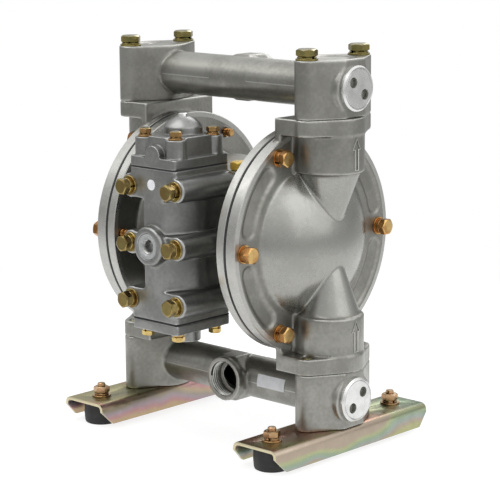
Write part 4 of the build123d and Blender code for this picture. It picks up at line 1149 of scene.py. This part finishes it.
# Reset button
# A small turned button stands in the middle of the cap. Pressed, it pushes the spool down to free it.
low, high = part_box("reset_button")
button_radius = 0.0046
button_pin_radius = 0.0022
button_edge = 0.0008
button_flange_thickness = 0.0025
button_flange_radius = (high.x - low.x) / 2
button_seat_rise = 0.003
button_seat_gap = 0.00002
button_flange_top = cap_base_z + button_seat_rise - button_seat_gap
button_flange_low = button_flange_top - button_flange_thickness
button_shape = bmesh.new()
profile = [(0.0, low.z), (button_pin_radius, low.z), (button_pin_radius, button_flange_low),
           (button_flange_radius, button_flange_low),
           (button_flange_radius, button_flange_top), (button_radius, button_flange_top),
           (button_radius, high.z - button_edge), (button_radius - button_edge / 3, high.z - button_edge / 3),
           (button_radius - button_edge, high.z), (0.0, high.z)]
turned(button_shape, profile, (0.0, valve_y, 0.0), (0, 0, 1), (1, 0, 0), steps=64)
place_piece("button_piece", mesh_of("button_piece", button_shape), plug_bright, "button",
            ["reset_button"])


# Button spring
# A small coil spring of steel wire under the button's flange lifts it again.
turned_steel = grained_material("turned_steel", (0.46, 0.46, 0.46), (0.56, 0.56, 0.56), 1.0, 0.28, 400.0)
low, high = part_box("button_spring")
spring_wire = 0.0005
spring_length = high.z - low.z
spring_radius = (high.x - low.x) / 2 - spring_wire
spring_turns = 3.0
spring_wound = spring_length - 2 * spring_wire
spring_mesh = thread_mesh(spring_radius, spring_wound / spring_turns, spring_wound, spring_wire, turned_steel,
                          (0.0, valve_y, low.z + spring_wire), (0, 0, 1), 8)
place_piece("button_spring_coil", spring_mesh, None, "root", ["button_spring"], 60.0)
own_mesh(bpy.data.objects["button_spring_coil"])


# Diaphragms
# Each is a reinforced rubber sheet, clamped between cover and disc at its rim and between two plates on the
# rod. A rolled fold between them takes up the stroke, and it is made in sectors.
rubber_thickness = 0.0022
clamp_radius = 0.066
plate_edge_radius = 0.049
stud_hole_radius = 0.0073
fold_height = 0.0035
fold_steps = 12
sector_count = 16
bolt_hole_radius = 0.0045
sheet_inner_x = sheet_outer_x - rubber_thickness
seats, _ = seat_points("right_chamber_bolts", (1, 0, 0), 0.0)
chamber_bolt_places = [(vertex.co.y, vertex.co.z) for vertex in seats.vertices]


def fold_profile():
    """The section of the sheet from the stud to the clamp, with its fold towards the cover."""
    outer = [(stud_hole_radius, sheet_outer_x), (plate_edge_radius, sheet_outer_x)]
    for i in range(1, fold_steps):
        rise = fold_height * math.sin(math.pi * i / fold_steps) ** 2
        reach = plate_edge_radius + (clamp_radius - plate_edge_radius) * i / fold_steps
        outer.append((reach, sheet_outer_x + rise))
    outer.append((clamp_radius, sheet_outer_x))
    return outer + [(reach, x - rubber_thickness) for reach, x in reversed(outer)]


for side, name in ((1, "right"), (-1, "left")):
    middle = (0.0, 0.0, chamber_z)
    shape = bmesh.new()
    ring = [(clamp_radius, sheet_inner_x), (flange_radius, sheet_inner_x), (flange_radius, sheet_outer_x),
            (clamp_radius, sheet_outer_x)]
    turned(shape, ring, middle, (side, 0, 0), (0, 1, 0), steps=216)
    ring_mesh = mesh_of("ring", shape)
    for y, z in chamber_bolt_places:
        ring_mesh = cut_round(ring_mesh, (side * sheet_outer_x, y, z), (1, 0, 0), (0, 1, 0), bolt_hole_radius,
                              2 * rubber_thickness)
    place_piece(f"{name}_diaphragm_rim", ring_mesh, rubber_black, "root",
                [f"{name}_diaphragm"])
    for i in range(sector_count):
        half = 180.0 / sector_count
        angle = 360.0 * i / sector_count
        sector = f"{name}_diaphragm_sector_{i}"
        shape = bmesh.new()
        turned(shape, fold_profile(), middle, (side, 0, 0), (0, 1, 0), angle - half, angle + half, 180)
        place_piece(sector, mesh_of("sector", shape), rubber_black, None)
        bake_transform(bpy.data.objects[sector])


# Inner parts and seals
# The rod, plates, seats, balls, spool and screws are turned steel, bronze and rubber. They show only when
# the pump is opened, apart from the thin dark edges of the gaskets.
inner_finishes = {
    "rubber_black": rubber_black,
    "gasket_black": grained_material("gasket_black", (0.014, 0.014, 0.015), (0.022, 0.022, 0.023), 0.0, 0.7,
                                     300.0),
    "steel": turned_steel,
    "bronze": grained_material("sintered_bronze", (0.42, 0.28, 0.12), (0.54, 0.38, 0.18), 1.0, 0.42, 900.0),
}
for part in frame["record"]["subparts"]:
    finish = inner_finishes.get(part["material_slot"])
    if finish:
        node = frame["nodes"][part["node"]]
        node.data.materials.clear()
        node.data.materials.append(finish)


# The studio
# A white table under a pale sky that brightens overhead and to the right, with soft lamps above the front
# left, on the right and behind, and the camera where the photograph was taken from.
camera_azimuth = math.radians(43.36)
camera_elevation = math.radians(11.25)
camera_roll = math.radians(-0.41)
camera_distance = 1.8
camera_aim = Vector((0.0109, -0.0022, 0.1723))
sensor_width = 36.0
photo_size = 500.0
focal_length_px = 1920.6

camera_data = bpy.data.cameras.new("camera")
camera_data.sensor_width = sensor_width
camera_data.lens = focal_length_px / photo_size * sensor_width
camera_data.clip_end = 50.0
camera = bpy.data.objects.new("camera", camera_data)
bpy.context.scene.collection.objects.link(camera)
turn = (Matrix.Rotation(camera_azimuth, 4, "Z")
        @ Matrix.Rotation(math.pi / 2 - camera_elevation, 4, "X")
        @ Matrix.Rotation(camera_roll, 4, "Z"))
camera.matrix_world = Matrix.Translation(camera_aim) @ turn @ Matrix.Translation((0, 0, camera_distance))
bpy.context.scene.camera = camera

floor_half = 6.0
floor_mesh = bpy.data.meshes.new("floor")
corners = [(-floor_half, -floor_half, 0), (floor_half, -floor_half, 0), (floor_half, floor_half, 0),
           (-floor_half, floor_half, 0)]
floor_mesh.from_pydata(corners, [], [(0, 1, 2, 3)])
floor = bpy.data.objects.new("floor", floor_mesh)
bpy.context.scene.collection.objects.link(floor)
floor_white, tree, shader = new_material("floor_white")
shader.inputs["Base Color"].default_value = (0.93, 0.93, 0.93, 1.0)
shader.inputs["Roughness"].default_value = 0.9
_, parts = object_place(tree)
reach = maths(tree, "SQRT", maths(tree, "ADD", maths(tree, "MULTIPLY", parts["X"], parts["X"]),
                                  maths(tree, "MULTIPLY", parts["Y"], parts["Y"])))
rays = tree.nodes.new("ShaderNodeLightPath").outputs
seen = maths(tree, "MAXIMUM", rays["Is Camera Ray"], rays["Is Glossy Ray"])
seen = maths(tree, "MAXIMUM", seen, rays["Is Transmission Ray"])
white = tree.nodes.new("ShaderNodeEmission")
# Painted light: in reflections the floor glows brighter than white near the pump, as a pool of light, and
# dimmer far off.
reflected_floor_glow = maths(tree, "MAXIMUM", rays["Is Camera Ray"], ranged(tree, reach, 0.35, 1.5, 1.15, 0.58))
join_input(tree, white.inputs["Strength"], reflected_floor_glow)
share = add_node(tree, "ShaderNodeMixShader")
tree.links.new(maths(tree, "MULTIPLY", seen, ranged(tree, reach, 0.25, 0.8, 0.72, 1.0)), share.inputs[0])
tree.links.new(shader.outputs[0], share.inputs[1])
tree.links.new(white.outputs[0], share.inputs[2])
tree.links.new(share.outputs[0], tree.nodes["Material Output"].inputs["Surface"])
floor_mesh.materials.append(floor_white)

world = bpy.data.worlds.new("studio")
bpy.context.scene.world = world
world.use_nodes = True
tree = world.node_tree
parts = tree.nodes.new("ShaderNodeSeparateXYZ")
tree.links.new(tree.nodes.new("ShaderNodeTexCoord").outputs["Generated"], parts.inputs[0])
overhead = ranged(tree, parts.outputs["Z"], 0.05, 0.75, 0.42, 1.1)
from_right = ranged(tree, parts.outputs["X"], 0.2, 0.9, 0.0, 0.35)
join_input(tree, tree.nodes["Background"].inputs["Strength"], maths(tree, "ADD", overhead, from_right))
tree.nodes["Background"].inputs["Color"].default_value = (1.0, 1.0, 1.0, 1.0)


def softbox(name, place, aim, size, power):
    """A square lamp at a place, turned towards an aim."""
    data = bpy.data.lights.new(name, "AREA")
    data.shape = "SQUARE"
    data.size = size
    data.energy = power
    lamp = bpy.data.objects.new(name, data)
    lamp.location = place
    lamp.rotation_euler = (Vector(aim) - Vector(place)).to_track_quat("-Z", "Y").to_euler()
    bpy.context.scene.collection.objects.link(lamp)


pump_middle = (0.0, 0.0, 0.2)
softbox("key_lamp", (-0.5, -0.9, 2.0), pump_middle, 1.9, 18.0)
softbox("side_lamp", (1.8, 0.3, 1.1), pump_middle, 1.9, 6.0)
softbox("rim_lamp", (-0.7, 1.5, 1.5), pump_middle, 1.2, 10.0)

bpy.context.scene.view_settings.view_transform = "Standard"
